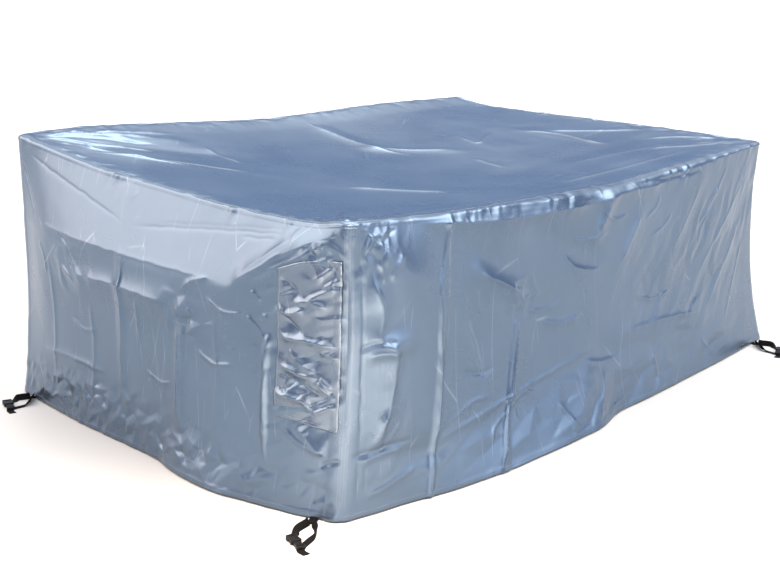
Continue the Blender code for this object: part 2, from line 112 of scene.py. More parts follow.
HANGS["back"] = in_metres(Hang, (
    (0, 757, 12, 590, 16, 60),
    (500, 766, 20, 540, 34, 90),
    (1000, 762, 22, 520, 38, 100),
    (1500, 788, 20, 540, 34, 85),
    (1900, 808, 16, 560, 16, 64),
    (2048, 806, 14, 572, 6, 58),
))
HANGS["left"] = in_metres(Hang, (
    (0, 806, 14, 572, 18, 30),
    (170, 782, 12, 562, 60, 53),
    (420, 752, 12, 553, 80, 77),
    (700, 735, 12, 543, 86, 92),
    (860, 725, 12, 538, 86, 126),
    (990, 720, 12, 536, 84, 135),
    (1150, 719, 12, 612, 62, 110),
    (1260, 723, 12, 672, 40, 90),
    (1341, 735, 12, 700, 18, 62),
))

# Broad folds, which the solids have too. On a wall, along is from its left end and up is the height
# over the floor; on the top, along is X and up is Y.
Fold = namedtuple("Fold", "along up to_along to_up width rise")
FOLDS = {}
FOLDS["left"] = in_metres(Fold, (
    (330, 451, 800, 453, 50, 8),
    (560, 530, 560, 200, 20, 4),
    (835, 420, 835, 150, 18, 5),
    (1147, 420, 1147, 190, 9, 5),
    (1050, 575, 1200, 670, 22, 5),
    (1200, 500, 1330, 530, 22, 5),
    (1200, 410, 1330, 390, 25, -5),
    (1200, 290, 1330, 330, 22, 5),
))
FOLDS["front"] = in_metres(Fold, (
    (320, 690, 220, 0, 9, 4),
    (590, 370, 485, 0, 9, 4),
    (430, 542, 600, 463, 30, 6),
    (0, 423, 130, 424, 30, 8),
    (50, 150, 230, 120, 30, -6),
    (230, 117, 1000, 207, 45, -4),
    (1130, 233, 1640, 198, 40, 4),
    (1630, 634, 1450, 435, 35, 3),
    (1060, 640, 1000, 560, 30, 5),
    (1230, 577, 1120, 452, 35, 3),
    (1950, 600, 1550, 250, 50, 3),
    (1900, 400, 1600, 120, 50, 2),
    (700, 600, 950, 500, 50, -6),
))
FOLDS["top"] = in_metres(Fold, (
    (-950, 430, -630, 50, 35, 2),
    (100, 500, 60, 240, 35, 5),
    (60, 240, 240, 60, 35, 4),
    (-510, -180, -320, -400, 35, 2),
    (690, 80, 680, -220, 35, 2),
    (-500, -450, 700, -500, 50, 3),
    (-300, -250, 800, -330, 50, -2),
    (-980, 600, -620, 500, 40, 7),
    (-980, 560, -600, 360, 40, -6),
))

# Fine creases. left and right are half breadths on either side of the line, going from its first point
# to its last, and rise is how proud it is, or how deep if negative.
Crease = namedtuple("Crease", "left right rise points")


def creases(*rows):
    """Creases from rows of millimetres: left, right, rise, and then along and up for every point."""
    return [Crease(*(value / MM for value in row[:3]), np.reshape(row[3:], (-1, 2)) / MM) for row in rows]


CREASES = {}
CREASES["left"] = creases(
    # The sloping band.
    (6, 7, -1.6, 30, 765, 161, 723, 430, 656, 570, 622),
    (7, 7, -3.5, 0, 738, 45, 655, 83, 572),
    (6, 7, -1.7, 560, 622, 859, 653, 1186, 684),
    (6, 6, -0.9, 660, 643, 859, 663, 1186, 695),
    (5, 7, -1.4, 1010, 655, 1150, 668),
    (10, 14, 2.2, 1020, 548, 1100, 590, 1190, 648),
    (10, 12, 1.8, 1050, 570, 1120, 620, 1200, 676),
    (16, 8, 2, 60, 585, 254, 560, 652, 549, 906, 544, 1020, 542),
    (12, 8, 2.2, 1020, 542, 1124, 583, 1243, 643, 1330, 690),
    # Below the shoulder.
    (8, 16, -4.5, 238, 561, 285, 535, 305, 500, 325, 451),
    (6, 10, 3, 260, 470, 330, 430),
    (30, 18, 6, 325, 455, 550, 462, 800, 452),
    (18, 6, 4.5, 940, 548, 875, 530, 828, 495),
    (7, 7, 3, 805, 455, 822, 438, 830, 405),
    (7, 7, 3, 860, 455, 890, 430),
    (6, 9, -3, 820, 424, 885, 428),
    (8, 14, 5, 812, 410, 823, 290, 844, 120),
    (8, 12, 3, 1090, 540, 1125, 515),
    (8, 14, 3.5, 1075, 475, 1115, 450, 1140, 415),
    (8, 14, 6.5, 1137, 430, 1147, 300, 1155, 186, 1162, 100),
    (7, 7, 3, 1130, 488, 1150, 475, 1182, 490),
    (8, 12, 3.5, 575, 549, 565, 380, 554, 180),
    (12, 12, 3, 642, 440, 637, 300),
    (24, 16, 5, 104, 187, 300, 200, 492, 193),
    (12, 18, 3, 170, 500, 200, 300, 190, 100),
    (12, 18, 3, 400, 400, 420, 250, 410, 80),
    (10, 16, 3, 960, 450, 985, 280, 980, 80),
    # The patch.
    (10, 14, 4.4, 1269, 654, 1310, 673),
    (10, 14, 4.4, 1275, 585, 1310, 606, 1350, 640),
    (10, 13, 4.4, 1305, 570, 1341, 591, 1360, 600),
    (13, 16, 6.9, 1262, 540, 1290, 550, 1325, 568, 1355, 582),
    (13, 8, 5.6, 1228, 528, 1269, 535, 1325, 528),
    (13, 16, 7.5, 1183, 523, 1206, 496, 1265, 520),
    (8, 11, 4.4, 1280, 502, 1310, 496, 1341, 503, 1375, 507),
    (16, 19, 9.4, 1180, 455, 1217, 439, 1279, 439, 1357, 431),
    (10, 10, 5, 1300, 417, 1357, 406),
    (22, 19, 6.3, 1208, 418, 1253, 381, 1305, 360),
    (10, 13, 6.3, 1188, 367, 1222, 363, 1258, 350, 1315, 355),
    (8, 8, 4.4, 1300, 344, 1325, 324, 1352, 302),
    (8, 8, 4.4, 1308, 352, 1345, 330),
    (8, 10, 4.4, 1300, 282, 1325, 296, 1352, 308),
    (13, 14, 8.1, 1180, 300, 1227, 293, 1270, 286, 1292, 258),
    (10, 13, 6.9, 1286, 260, 1325, 276, 1356, 290),
    (13, 19, -5.6, 1180, 585, 1217, 572, 1250, 535),
    (13, 19, -5.6, 1184, 505, 1227, 473, 1258, 445),
    (13, 16, -6.3, 1184, 352, 1263, 328, 1325, 306),
    (11, 11, -5, 1198, 316, 1214, 304),
    (10, 16, -3.7, 1330, 640, 1352, 600, 1372, 590),
    (8, 8, -3.7, 1330, 585, 1370, 584),
    # Below the patch, round the near corner.
    (14, 10, 4, 1200, 215, 1270, 180, 1340, 160),
    (6, 10, -4, 1320, 128, 1341, 145, 1380, 158),
    (4, 4, -1.5, 1341, 105, 1341, 40),
    (4, 4, -1.5, 1315, 100, 1315, 35),
    (60, 20, 6, 1255, 225, 1290, 190, 1335, 160),
    # Small wrinkles.
    (6, 8, 3, 110, 520, 150, 470, 155, 420),
    (6, 8, 2.8, 300, 330, 360, 300, 440, 310),
    (6, 8, 2.8, 660, 250, 740, 230, 800, 240),
    (6, 8, 3, 890, 360, 960, 330, 1050, 340),
    (6, 8, 3, 920, 500, 1000, 470, 1080, 480),
)
CREASES["front"] = creases(
    # Round the near corner.
    (4, 4, -3, 0, 650, 2, 452, 2, 211, 2, 155),
    (5, 7, -7, -12, 420, 6, 431, 35, 440, 100, 431),
    (7, 20, 6, 12, 405, 50, 412, 100, 400),
    (6, 10, -5.5, -30, 160, 10, 164, 63, 168, 170, 170),
    (10, 16, 4.5, 0, 145, 60, 150, 140, 155),
    (5, 8, 3.5, 36, 170, 55, 215, 72, 262),
    (4, 5, 2.5, 75, 174, 120, 226),
    (3, 4, 1.4, 42, 405, 46, 345, 40, 285),
    (3, 4, 1.4, 55, 400, 58, 345, 52, 280),
    (3, 4, 1.4, 67, 400, 71, 340, 64, 270),
    (3, 4, 1.4, 80, 395, 84, 335, 78, 275),
    (4, 4, -1.5, 2, 150, 2, 50),
    (4, 4, -1.5, 22, 135, 22, 60),
    (16, 10, 4.5, 25, 42, 71, 62, 190, 92),
    (34, 120, 14, 26, 660, 32, 579, 55, 515, 42, 450, 92, 405, 79, 289, 60, 215, 47, 120),
    # Its upper end.
    (4, 7, -3.5, 4, 645, 12, 680, 20, 712),
    (4, 7, -3.5, 6, 645, 35, 675, 70, 700),
    (4, 7, -3, 50, 675, 85, 688, 125, 702),
    (6, 6, 3, 10, 650, 30, 690, 40, 705),
    (8, 10, 3, 45, 640, 60, 600, 55, 575),
    (6, 8, 3, 35, 575, 50, 545, 50, 515),
    # The rest of the wall, from its two long creases on.
    (10, 8, 8.5, 290, 600, 269, 524, 253, 243, 213, -60),
    (10, 8, 3.5, 320, 690, 295, 610, 275, 500),
    (10, 7, 10, 609, 401, 575, 260, 530, 149, 452, -40),
    (8, 6, 3.5, 560, 220, 570, 165, 572, 110),
    (12, 8, 6, 427, 542, 520, 500, 610, 458),
    (6, 6, 3.5, 610, 455, 625, 425, 620, 400),
    (6, 6, 3, 617, 430, 660, 440),
    (6, 6, 3, 590, 415, 617, 430),
    (14, 20, 4, 134, 648, 100, 610, 79, 583),
    (50, 60, 14, 180, 706, 293, 690, 530, 664, 751, 655, 1004, 642),
    (8, 8, 5, 260, 712, 400, 700, 560, 694, 740, 682, 930, 676),
    (36, 40, 9, 960, 646, 1170, 658, 1289, 655, 1400, 660),
    (6, 9, -4, 1190, 672, 1400, 668, 1640, 667),
    (16, 24, 4.5, 1060, 640, 1030, 600, 1000, 560),
    (16, 24, 5, 1234, 577, 1180, 520, 1123, 452),
    (6, 7, 2.2, 1629, 634, 1550, 540, 1447, 435),
    (6, 7, 2.6, 1827, 674, 1720, 560, 1600, 470),
    (6, 8, 2.2, 1970, 600, 1820, 480, 1600, 300),
    (6, 8, 2, 1990, 500, 1860, 360, 1660, 180),
    (6, 9, 2, 1990, 400, 1920, 280, 1800, 120),
    (10, 14, 3, 1131, 233, 1380, 225, 1645, 198),
    (10, 14, 3, 229, 140, 600, 190, 1004, 232),
    (14, 20, 3.5, 700, 360, 820, 330, 920, 340),
    (12, 18, 3.5, 820, 520, 900, 470, 1020, 450),
    (14, 20, -3.5, 360, 450, 420, 340, 440, 220),
    (12, 16, 3, 750, 120, 800, 60, 800, 10),
    (12, 16, 3.5, 1020, 150, 980, 70, 920, 10),
    (10, 14, 3, 1300, 140, 1320, 70, 1310, 10),
    (10, 14, 3, 1620, 120, 1660, 60, 1660, 10),
    (6, 8, 3, 1020, 610, 1100, 585, 1160, 590),
    (6, 8, 3, 1360, 630, 1330, 590, 1260, 560),
    (6, 8, 2.8, 1440, 560, 1380, 520, 1300, 500),
    (6, 8, 2.8, 1700, 520, 1640, 470, 1620, 420),
    (6, 8, 2.6, 1780, 600, 1700, 560, 1660, 500),
    (6, 8, 2.6, 860, 560, 980, 545, 1060, 560),
    (6, 8, 2.6, 640, 400, 740, 385, 820, 400),
    (6, 8, -2.6, 340, 300, 420, 275, 500, 280),
    (6, 8, 2.6, 300, 180, 400, 210, 480, 200),
    (6, 8, 3, 900, 200, 1050, 170, 1140, 180),
    (6, 8, 2.6, 1200, 330, 1340, 300, 1460, 310),
    (6, 7, 3, 530, 149, 600, 180, 660, 170),
    (6, 7, 3, 530, 149, 470, 120, 450, 80),
)
CREASES["top"] = creases(
    (8, 10, 4, -970, 445, -879, 363, -765, 256, -620, 45),
    (8, 14, 3.5, -534, 430, -555, 310, -560, 200),
    (8, 14, 3.5, 99, 630, 85, 514, 60, 241, 103, 78),
    (8, 12, 3, 60, 241, 150, 140, 250, 50),
    (8, 12, 3.5, 451, 200, 400, 70, 500, 110, 600, 160),
    (10, 18, 4, -530, -170, -420, -290, -310, -410),
    (8, 12, 4.5, 670, 100, 715, -68, 677, -219, 695, -290),
    (8, 14, 4.5, 730, 40, 840, -110, 975, -260),
    (8, 12, 3, 210, -60, 170, -220),
    (14, 6, 6, -1000, 630, -865, 585, -640, 500),
    (12, 6, 6, -1000, 640, -865, 610, -518, 560),
    (12, 6, 5.5, -1000, 610, -840, 470, -728, 378),
    (10, 6, 4.5, -1000, 580, -908, 418, -745, 189),
    (14, 10, -5, -1000, 620, -850, 545, -680, 450),
    (10, 10, 4, -990, 545, -945, 500, -930, 430),
    (12, 12, 2.2, -720, -555, -300, -540, 200, -560),
    (12, 12, 2.2, 0, -500, 400, -540, 800, -560),
    (10, 12, 1.8, -500, -430, -100, -440, 360, -420),
    (10, 12, 1.8, 300, -350, 600, -400, 860, -480),
    (10, 16, 3.5, -970, -600, -900, -520, -800, -440),
    (10, 16, 3.5, -960, -630, -840, -590, -700, -570),
    (10, 16, 4, 970, -610, 840, -548, 660, -430),
    (10, 16, 3.5, 990, -560, 930, -430, 840, -330),
)
# The right wall and the back, which the far corners' tension pulls the same way.
CREASES["right"] = creases(
    (14, 22, 5.5, 50, 640, 220, 500, 400, 280),
    (12, 18, 4.5, 40, 560, 140, 380, 220, 140),
    (14, 22, 5, 1300, 680, 1120, 520, 960, 300),
    (12, 18, 4, 1300, 560, 1200, 360, 1140, 140),
    (16, 10, 5, 100, 690, 500, 668, 900, 680, 1250, 705),
    (10, 14, 4.5, 620, 480, 600, 280, 580, 20),
    (10, 14, 3.5, 860, 420, 880, 240, 860, 40),
)
CREASES["back"] = creases(
    (14, 22, 5.5, 50, 680, 260, 520, 480, 300),
    (12, 18, 4.5, 40, 580, 180, 360, 240, 120),
    (14, 22, 5.5, 2000, 720, 1800, 540, 1580, 320),
    (12, 18, 4.5, 2010, 600, 1900, 380, 1860, 140),
    (16, 10, 5, 120, 715, 600, 722, 1100, 718, 1600, 740, 1920, 760),
    (10, 14, 5, 740, 500, 720, 260, 700, 20),
    (10, 14, 4, 1300, 480, 1330, 240, 1310, 30),
    (12, 18, 4, 980, 420, 1120, 360, 1220, 380),
)

CREASE_SPREAD = 0.50    # breadth of every crease, as a share of its own
CREASE_NARROW, CREASE_END = 0.55, 0.22  # its breadth at an end, and the share of it that an end takes
CREST = 0.0016          # how far its crest is rounded

# Cloth crushed into small flat facets, round a middle and as far as reach. cell is the facets' size, turn
# the way that they are drawn out, in degrees, and stretch how many times longer than wide they are.
Crush = namedtuple("Crush", "panel middle reach cell rise stretch turn")


def crush(panel, along, up, reach_along, reach_up, cell, rise, stretch, turn):
    """A crushed area from sizes in millimetres."""
    middle, reach = (along / MM, up / MM), (reach_along / MM, reach_up / MM)
    return Crush(panel, middle, reach, cell / MM, rise / MM, stretch, turn)


CRUSHES = [
    crush("left", 850, 435, 100, 80, 30, 6, 1.2, 30),
    crush("left", 1245, 450, 160, 300, 22, 2.4, 2.6, 18),
    crush("left", 1265, 290, 120, 110, 17, 2.4, 2.4, 25),
    crush("left", 1320, 665, 90, 80, 16, 4.2, 1.7, -50),
    crush("left", 500, 75, 660, 85, 22, 4.2, 1.4, 40),
    crush("left", 1150, 60, 300, 70, 24, 3.6, 1.6, 30),
    crush("left", 130, 660, 160, 140, 40, 1.6, 2.0, -35),
    crush("left", 300, 480, 120, 80, 32, 4, 1.8, -40),
    crush("front", 35, 665, 90, 80, 16, 4.2, 1.8, 60),
    crush("front", 620, 440, 90, 70, 26, 2.6, 1.2, 0),
    crush("front", 1560, 380, 400, 200, 30, 2.6, 2.6, 50),
    crush("front", 1920, 560, 160, 200, 24, 1.8, 3.0, 62),
    crush("front", 1000, 90, 950, 110, 34, 3, 2.4, 14),
    crush("front", 60, 200, 100, 100, 28, 2, 2.0, 60),
    crush("top", -900, 550, 160, 140, 30, 4.5, 2.4, -35),
    crush("top", -960, -600, 120, 100, 20, 5, 1.6, 40),
    crush("top", 950, -580, 120, 120, 28, 3.5, 1.8, 150),
    crush("top", 550, 100, 300, 200, 80, 2.2, 1.6, 60),
    crush("right", 60, 600, 120, 140, 28, 3.5, 2.0, 120),
    crush("right", 1270, 650, 120, 140, 28, 3.5, 2.0, 50),
    crush("right", 670, 80, 700, 80, 50, 3.5, 1.6, 8),
    crush("back", 60, 640, 120, 140, 28, 3.5, 2.0, 120),
    crush("back", 1970, 680, 120, 140, 28, 3.5, 2.0, 50),
    crush("back", 1000, 80, 1000, 80, 55, 3.5, 1.6, 8),
]
CRUSH_CORE, CRUSH_EDGE = 0.5, 1.3       # where a crushed area starts and ends to die away
# The same over whole panels: (cell, stretch, turn, rise), from broad to fine.
WHOLE_PANEL = {
    "top": ((.240, 1.5, 20, .0014), (.100, 1.4, -30, .0004)),
    "front": ((.220, 1.5, 60, .0030), (.090, 1.5, 35, .0012)),
    "left": ((.180, 1.4, 50, .0028), (.080, 1.5, -35, .0014)),
    "right": ((.200, 1.5, 60, .0035), (.085, 1.5, 35, .0015)),
    "back": ((.220, 1.5, -60, .0035), (.090, 1.5, 35, .0015)),
}
KNOT_JITTER = 0.42                      # how far the facets' corners are off their grid, in cells
WANDER, FINE_WANDER = 0.0016, 0.0005    # how far the lines of creases and facets wander
# How much of the crushing and undulation is left between the top seam and the shoulder of a wall.
CALM = {"front": 1.0, "left": 0.15, "right": 0.6, "back": 0.6}
CALM_STEP = 0.05
# Short puckers across the seam at the top of each wall: their facets' size, stretch, turn and squash,
# their reach from the seam and their depth, and how they cluster: least, middle, swing and wavelength.
PUCKER_CELL, PUCKER_STRETCH, PUCKER_TURN, PUCKER_SQUASH = 0.018, 1.9, 40, 0.6
PUCKER_REACH, PUCKER_DEPTH = 0.030, 0.0046
CLUSTER_LEAST, CLUSTER_MIDDLE, CLUSTER_SWING, CLUSTER_LENGTH = 0.05, 0.35, 1.6, 0.33
TOP_PUCKER_CELL, TOP_FINE_FADE = 0.030, 1.3 * FINE_FADE
# Seeds of the random draws. Each is followed by one more for every wall, crushed area or size of facets.
SEED_TOP_PUCKERS, SEED_PUCKERS, SEED_CLUSTERS, SEED_CRUSHES, SEED_PANELS = 31, 40, 50, 100, 200


def smooth_table(places, values):
    """A function through the places and values, with rounded turns and no overshoot."""
    x, y = np.array(places, float), np.array(values, float)
    slope = np.diff(y) / np.diff(x)
    m = np.zeros(len(x))
    for i in range(1, len(x) - 1):
        if slope[i - 1] * slope[i] > 0:
            m[i] = 2 * slope[i - 1] * slope[i] / (slope[i - 1] + slope[i])
    m[0], m[-1] = slope[0], slope[-1]

    def at(p):
        p = np.clip(p, x[0], x[-1])
        i = np.clip(np.searchsorted(x, p, side="right") - 1, 0, len(x) - 2)
        h = x[i + 1] - x[i]
        u = (p - x[i]) / h
        return ((2 * u**3 - 3 * u**2 + 1) * y[i] + (u**3 - 2 * u**2 + u) * h * m[i]
                + (3 * u**2 - 2 * u**3) * y[i + 1] + (u**3 - u**2) * h * m[i + 1])

    return at


CURVES = {
    wall: {
        field: smooth_table([h.along for h in rows], [getattr(h, field) for h in rows])
        for field in Hang._fields[1:]
    }
    for wall, rows in HANGS.items()
}


def smooth_step(x):
    x = np.clip(x, 0.0, 1.0)
    return x * x * (3 - 2 * x)


def waves(x, length, seed):
    """A gentle wandering value from about -1 to 1, which repeats nowhere near."""
    rng = np.random.default_rng(seed)
    total = np.zeros_like(x)
    for stretch in (0.7, 1.0, 1.6):
        total = total + np.sin(2 * math.pi * x / (length * stretch) + rng.uniform(0, 2 * math.pi))
    return total / 3


def seam_wander(wall, along):
    """How far up or down the top seam wanders from its curve."""
    inside = smooth_step(np.minimum(along, WALLS[wall].length - along) / SEAM_WAVE_END)
    return SEAM_WAVE * inside * waves(along, SEAM_WAVE_LENGTH, ORDER.index(wall))


def section(wall, along, t):
    """How far out and how high the cloth lies, at places along a wall and shares t of the way down."""
    seam, edge, shoulder, belly, hem = (CURVES[wall][f](along) for f in Hang._fields[1:])
    seam = seam + seam_wander(wall, along)
    turn = np.minimum(t / T_EDGE, 1.0) * EDGE_TURN
    start_out, start_z = edge * math.sin(EDGE_TURN), seam - edge * (1 - math.cos(EDGE_TURN))
    slope = (belly - start_out) / (start_z - shoulder)
    band = np.clip((t - T_EDGE) / (T_SHOULDER - T_EDGE), 0.0, 1.0)
    down = np.clip((t - T_SHOULDER) / (1 - T_SHOULDER), 0.0, 1.0)
    z = start_z + (shoulder - start_z) * band + (HEM_LIFT - shoulder) * down
    out = start_out + slope * (start_z - shoulder) * band + (hem - belly) * down**FLARE_POWER
    out = out - slope * SOFT_SHOULDER / 2 * np.exp(-np.abs(z - shoulder) / SOFT_SHOULDER)
    on_edge = t <= T_EDGE
    out = np.where(on_edge, edge * np.sin(turn), out)
    return out, np.where(on_edge, seam - edge * (1 - np.cos(turn)), z)


def corner_radius(t):
    return CORNER_RADIUS_TOP + (CORNER_RADIUS_HEM - CORNER_RADIUS_TOP) * t


def place(wall, along, t):
    """The outside of the cloth at arrays of places. along runs from -1 to 0 round the wall's half of its
    first corner, then in metres along the wall, then for 1 more round its half of the last corner."""
    w = WALLS[wall]
    before, after = ORDER[ORDER.index(wall) - 1], ORDER[(ORDER.index(wall) + 1) % 4]
    out_before = section(before, np.full_like(t, WALLS[before].length), t)[0]
    out_after = section(after, np.zeros_like(t), t)[0]
    radius = corner_radius(t)
    full = w.length + out_before + out_after
    inner = np.clip(along, 0.0, w.length)
    out, z = section(wall, inner, t)
    turn = HALF_CORNER * (np.maximum(-along, 0) + np.maximum(along - w.length, 0))
    round_it = radius * (1 - np.sin(turn))
    run = radius + inner / w.length * (full - 2 * radius)
    run = np.where(along < 0, round_it, np.where(along > w.length, full - round_it, run)) - out_before
    out = out - radius * (1 - np.cos(turn))
    flat = [w.corner[k] + w.along[k] * run + w.out[k] * out for k in (0, 1)]
    return np.stack([*flat, z], axis=-1)


def spread(along, length, t):
    """Places along a wall in metres, also round its corners."""
    arc = corner_radius(t) * HALF_CORNER
    inner = np.clip(along, 0.0, length)
    return inner + (np.minimum(along, 0) + np.maximum(along - length, 0)) * arc


def smooth_line(points, steps=4):
    """A smooth line through points."""
    pts = [np.array(p, float) for p in points]
    pts = [2 * pts[0] - pts[1], *pts, 2 * pts[-1] - pts[-2]]
    line = []
    for a, b, c, d in zip(pts, pts[1:], pts[2:], pts[3:]):
        for i in range(steps):
            u = i / steps
            line.append(0.5 * (2 * b + (c - a) * u + (2 * a - 5 * b + 4 * c - d) * u**2
                               + (3 * b - a - 3 * c + d) * u**3))
    return line + [pts[-2]]


def crease_rise(crease, a, b):
    """How far one crease lifts the cloth at arrays of places."""
    line = smooth_line(crease.points)
    reach = 3 * max(crease.left, crease.right)
    low, high = np.min(line, axis=0) - reach, np.max(line, axis=0) + reach
    near = (a > low[0]) & (a < high[0]) & (b > low[1]) & (b < high[1])
    total = np.zeros_like(a)
    if not near.any():
        return total
    pa, pb = a[near], b[near]
    best, side, share = np.full_like(pa, np.inf), np.ones_like(pa), np.zeros_like(pa)
    lengths = [float(np.linalg.norm(q - p)) for p, q in zip(line, line[1:])]
    done = 0.0
    for p, q, length in zip(line, line[1:], lengths):
        unit = (q - p) / length
        da, db = pa - p[0], pb - p[1]
        u = np.clip(da * unit[0] + db * unit[1], 0, length)
        off = np.hypot(da - u * unit[0], db - u * unit[1])
        closer = off < best
        best = np.where(closer, off, best)
        side = np.where(closer, unit[0] * db - unit[1] * da, side)
        share = np.where(closer, (done + u) / sum(lengths), share)
        done += length
    end = smooth_step(np.minimum(share, 1 - share) / CREASE_END)
    taper = CREASE_NARROW + (1 - CREASE_NARROW) * end
    width = np.where(side > 0, crease.left, crease.right) * taper * CREASE_SPREAD
    crest = np.hypot(best, CREST) - CREST
    total[near] = crease.rise * end * np.exp(-crest / width)
    return total


def facets(a, b, cell, stretch, turn, seed):
    """Heights from about -1 to 1 of a sheet crumpled into flat facets."""
    c, s = math.cos(math.radians(turn)), math.sin(math.radians(turn))
    shape = a.shape
    a, b = a.ravel(), b.ravel()
    u, v = (a * c + b * s) / (cell * stretch), (b * c - a * s) / cell
    rng = np.random.default_rng(seed)
    grid_u = np.arange(math.floor(u.min()) - 1, math.ceil(u.max()) + 2)
    grid_v = np.arange(math.floor(v.min()) - 1, math.ceil(v.max()) + 2)
    knots = np.stack(np.meshgrid(grid_u, grid_v, indexing="ij"), axis=-1).reshape(-1, 2).astype(float)
    knots += rng.uniform(-KNOT_JITTER, KNOT_JITTER, knots.shape)
    found = geometry.delaunay_2d_cdt([Vector(k) for k in knots], [], [], 0, 1e-6)
    knots = np.array([tuple(k) for k in found[0]])
    heights = rng.uniform(-1, 1, len(knots))
    total = np.zeros_like(a)
    order = np.argsort(u)
    sorted_u = u[order]
    for face in found[2]:
        p, q, r = knots[list(face)]
        first, last = np.searchsorted(sorted_u, [min(p[0], q[0], r[0]), max(p[0], q[0], r[0])])
        some = order[first:last]
        du, dv = u[some] - p[0], v[some] - p[1]
        area = (q[0] - p[0]) * (r[1] - p[1]) - (r[0] - p[0]) * (q[1] - p[1])
        at_q = (du * (r[1] - p[1]) - (r[0] - p[0]) * dv) / area
        at_r = ((q[0] - p[0]) * dv - du * (q[1] - p[1])) / area
        inside = (at_q >= 0) & (at_r >= 0) & (at_q + at_r <= 1)
        hp, hq, hr = heights[list(face)]
        total[some[inside]] = (hp + at_q * (hq - hp) + at_r * (hr - hp))[inside]
    return total.reshape(shape)


def crush_rise(area, a, b, seed):
    """How far one crushed area lifts the cloth at arrays of places."""
    (mid_a, mid_b), (reach_a, reach_b) = area.middle, area.reach
    from_middle = np.hypot((a - mid_a) / reach_a, (b - mid_b) / reach_b)
    near = from_middle < CRUSH_EDGE
    total = np.zeros_like(a)
    if near.any():
        rise = facets(a[near], b[near], area.cell, area.stretch, area.turn, seed)
        away = (from_middle[near] - CRUSH_CORE) / (CRUSH_EDGE - CRUSH_CORE)
        total[near] = area.rise * rise * (1 - smooth_step(away))
    return total


def fold_rise(panel, a, b):
    """How far the broad folds of a panel lift its cloth at arrays of places."""
    total = np.zeros_like(a)
    for f in FOLDS.get(panel, ()):
        run = np.array([f.to_along - f.along, f.to_up - f.up])
        length = float(np.hypot(*run))
        run /= length
        da, db = a - f.along, b - f.up
        down_it, off_it = da * run[0] + db * run[1], db * run[0] - da * run[1]
        past = np.maximum(np.maximum(-down_it, down_it - length), 0.0)
        total += f.rise * np.exp(-((off_it / f.width) ** 2) - (past / (FOLD_END * f.width)) ** 2)
    return total


def fine_rise(panel, a, b, calm=1.0):
    """How far the creases, crushed areas and undulation of a panel lift its cloth. calm scales what
    isn't a crease."""
    wander_a = a + WANDER * waves(a + 2 * b, 0.19, 11) + FINE_WANDER * waves(b - a, 0.06, 12)
    wander_b = b + WANDER * waves(b - 2 * a, 0.17, 13) + FINE_WANDER * waves(a + b, 0.07, 14)
    total = np.zeros_like(a)
    for crease in CREASES[panel]:
        total += crease_rise(crease, wander_a, wander_b)
    for seed, area in enumerate(CRUSHES):
        if area.panel == panel:
            total += calm * crush_rise(area, wander_a, wander_b, SEED_CRUSHES + seed)
    for seed, (cell, stretch, turn, rise) in enumerate(WHOLE_PANEL[panel]):
        total += calm * rise * facets(wander_a, wander_b, cell, stretch, turn, SEED_PANELS + seed)
    return total


def normals(points):
    """The directions straight out of a grid of points, whose rows run right and go down."""
    across, down = np.gradient(points, axis=1), np.gradient(points, axis=0)
    out = np.cross(down, across)
    return out / np.linalg.norm(out, axis=-1, keepdims=True)


def patch_down(along, share):
    """The share of the way down the wall of places on its patch."""
    across = np.clip((along - PATCH_FROM) / (WIDTH - PATCH_FROM), 0, 1)
    top, bottom = (ends[0] + (ends[1] - ends[0]) * across for ends in (PATCH_TOP, PATCH_BOTTOM))
    return top + (bottom - top) * share


def wall_cloth(wall, along, t, on_patch=None):
    """The outside of a wall with its relief, at every place along it and share of the way down."""
    grid_along, grid_t = np.meshgrid(along, t)
    if on_patch:
        grid_t = on_patch(grid_along, grid_t)
    points = place(wall, grid_along, grid_t)
    length = WALLS[wall].length
    a, z = spread(grid_along, length, grid_t), points[..., 2]
    inner = np.clip(grid_along, 0, length)
    broad = np.clip(np.minimum(grid_along, length - grid_along) / SEAM_FADE, 0, 1)
    rise = fold_rise(wall, inner, z) * broad * np.minimum(grid_t / T_EDGE, 1)
    arc = corner_radius(grid_t) * HALF_CORNER
    below = CURVES[wall]["seam"](inner) - z
    from_seam = np.minimum(np.minimum(a + arc, length + arc - a), below + FINE_OVER)
    number = ORDER.index(wall)
    pucker = PUCKER_DEPTH * facets(a, PUCKER_SQUASH * z, PUCKER_CELL, PUCKER_STRETCH, PUCKER_TURN,
                                   SEED_PUCKERS + number)
    clusters = CLUSTER_MIDDLE + CLUSTER_SWING * waves(a, CLUSTER_LENGTH, SEED_CLUSTERS + number)
    pucker *= np.clip(clusters, CLUSTER_LEAST, 1)
    in_band = 1 - smooth_step((grid_t - T_SHOULDER) / CALM_STEP + 0.5)
    calm = 1 - (1 - CALM[wall]) * in_band
    below = np.maximum(below, 0)
    fine = fine_rise(wall, a, z, calm) + pucker * np.exp(-below / PUCKER_REACH)
    fine += HEM_PROUD * smooth_step((HEM_BAND - z) / HEM_STEP)
    folded = (smooth_step((below - SEAM_STRIP[0]) / SEAM_STEP)
              * smooth_step((SEAM_STRIP[1] - below) / SEAM_STEP + 1))
    rise += SEAM_PROUD * folded
    rise += fine * smooth_step(from_seam / FINE_FADE)
    return points + rise[..., None] * normals(points)


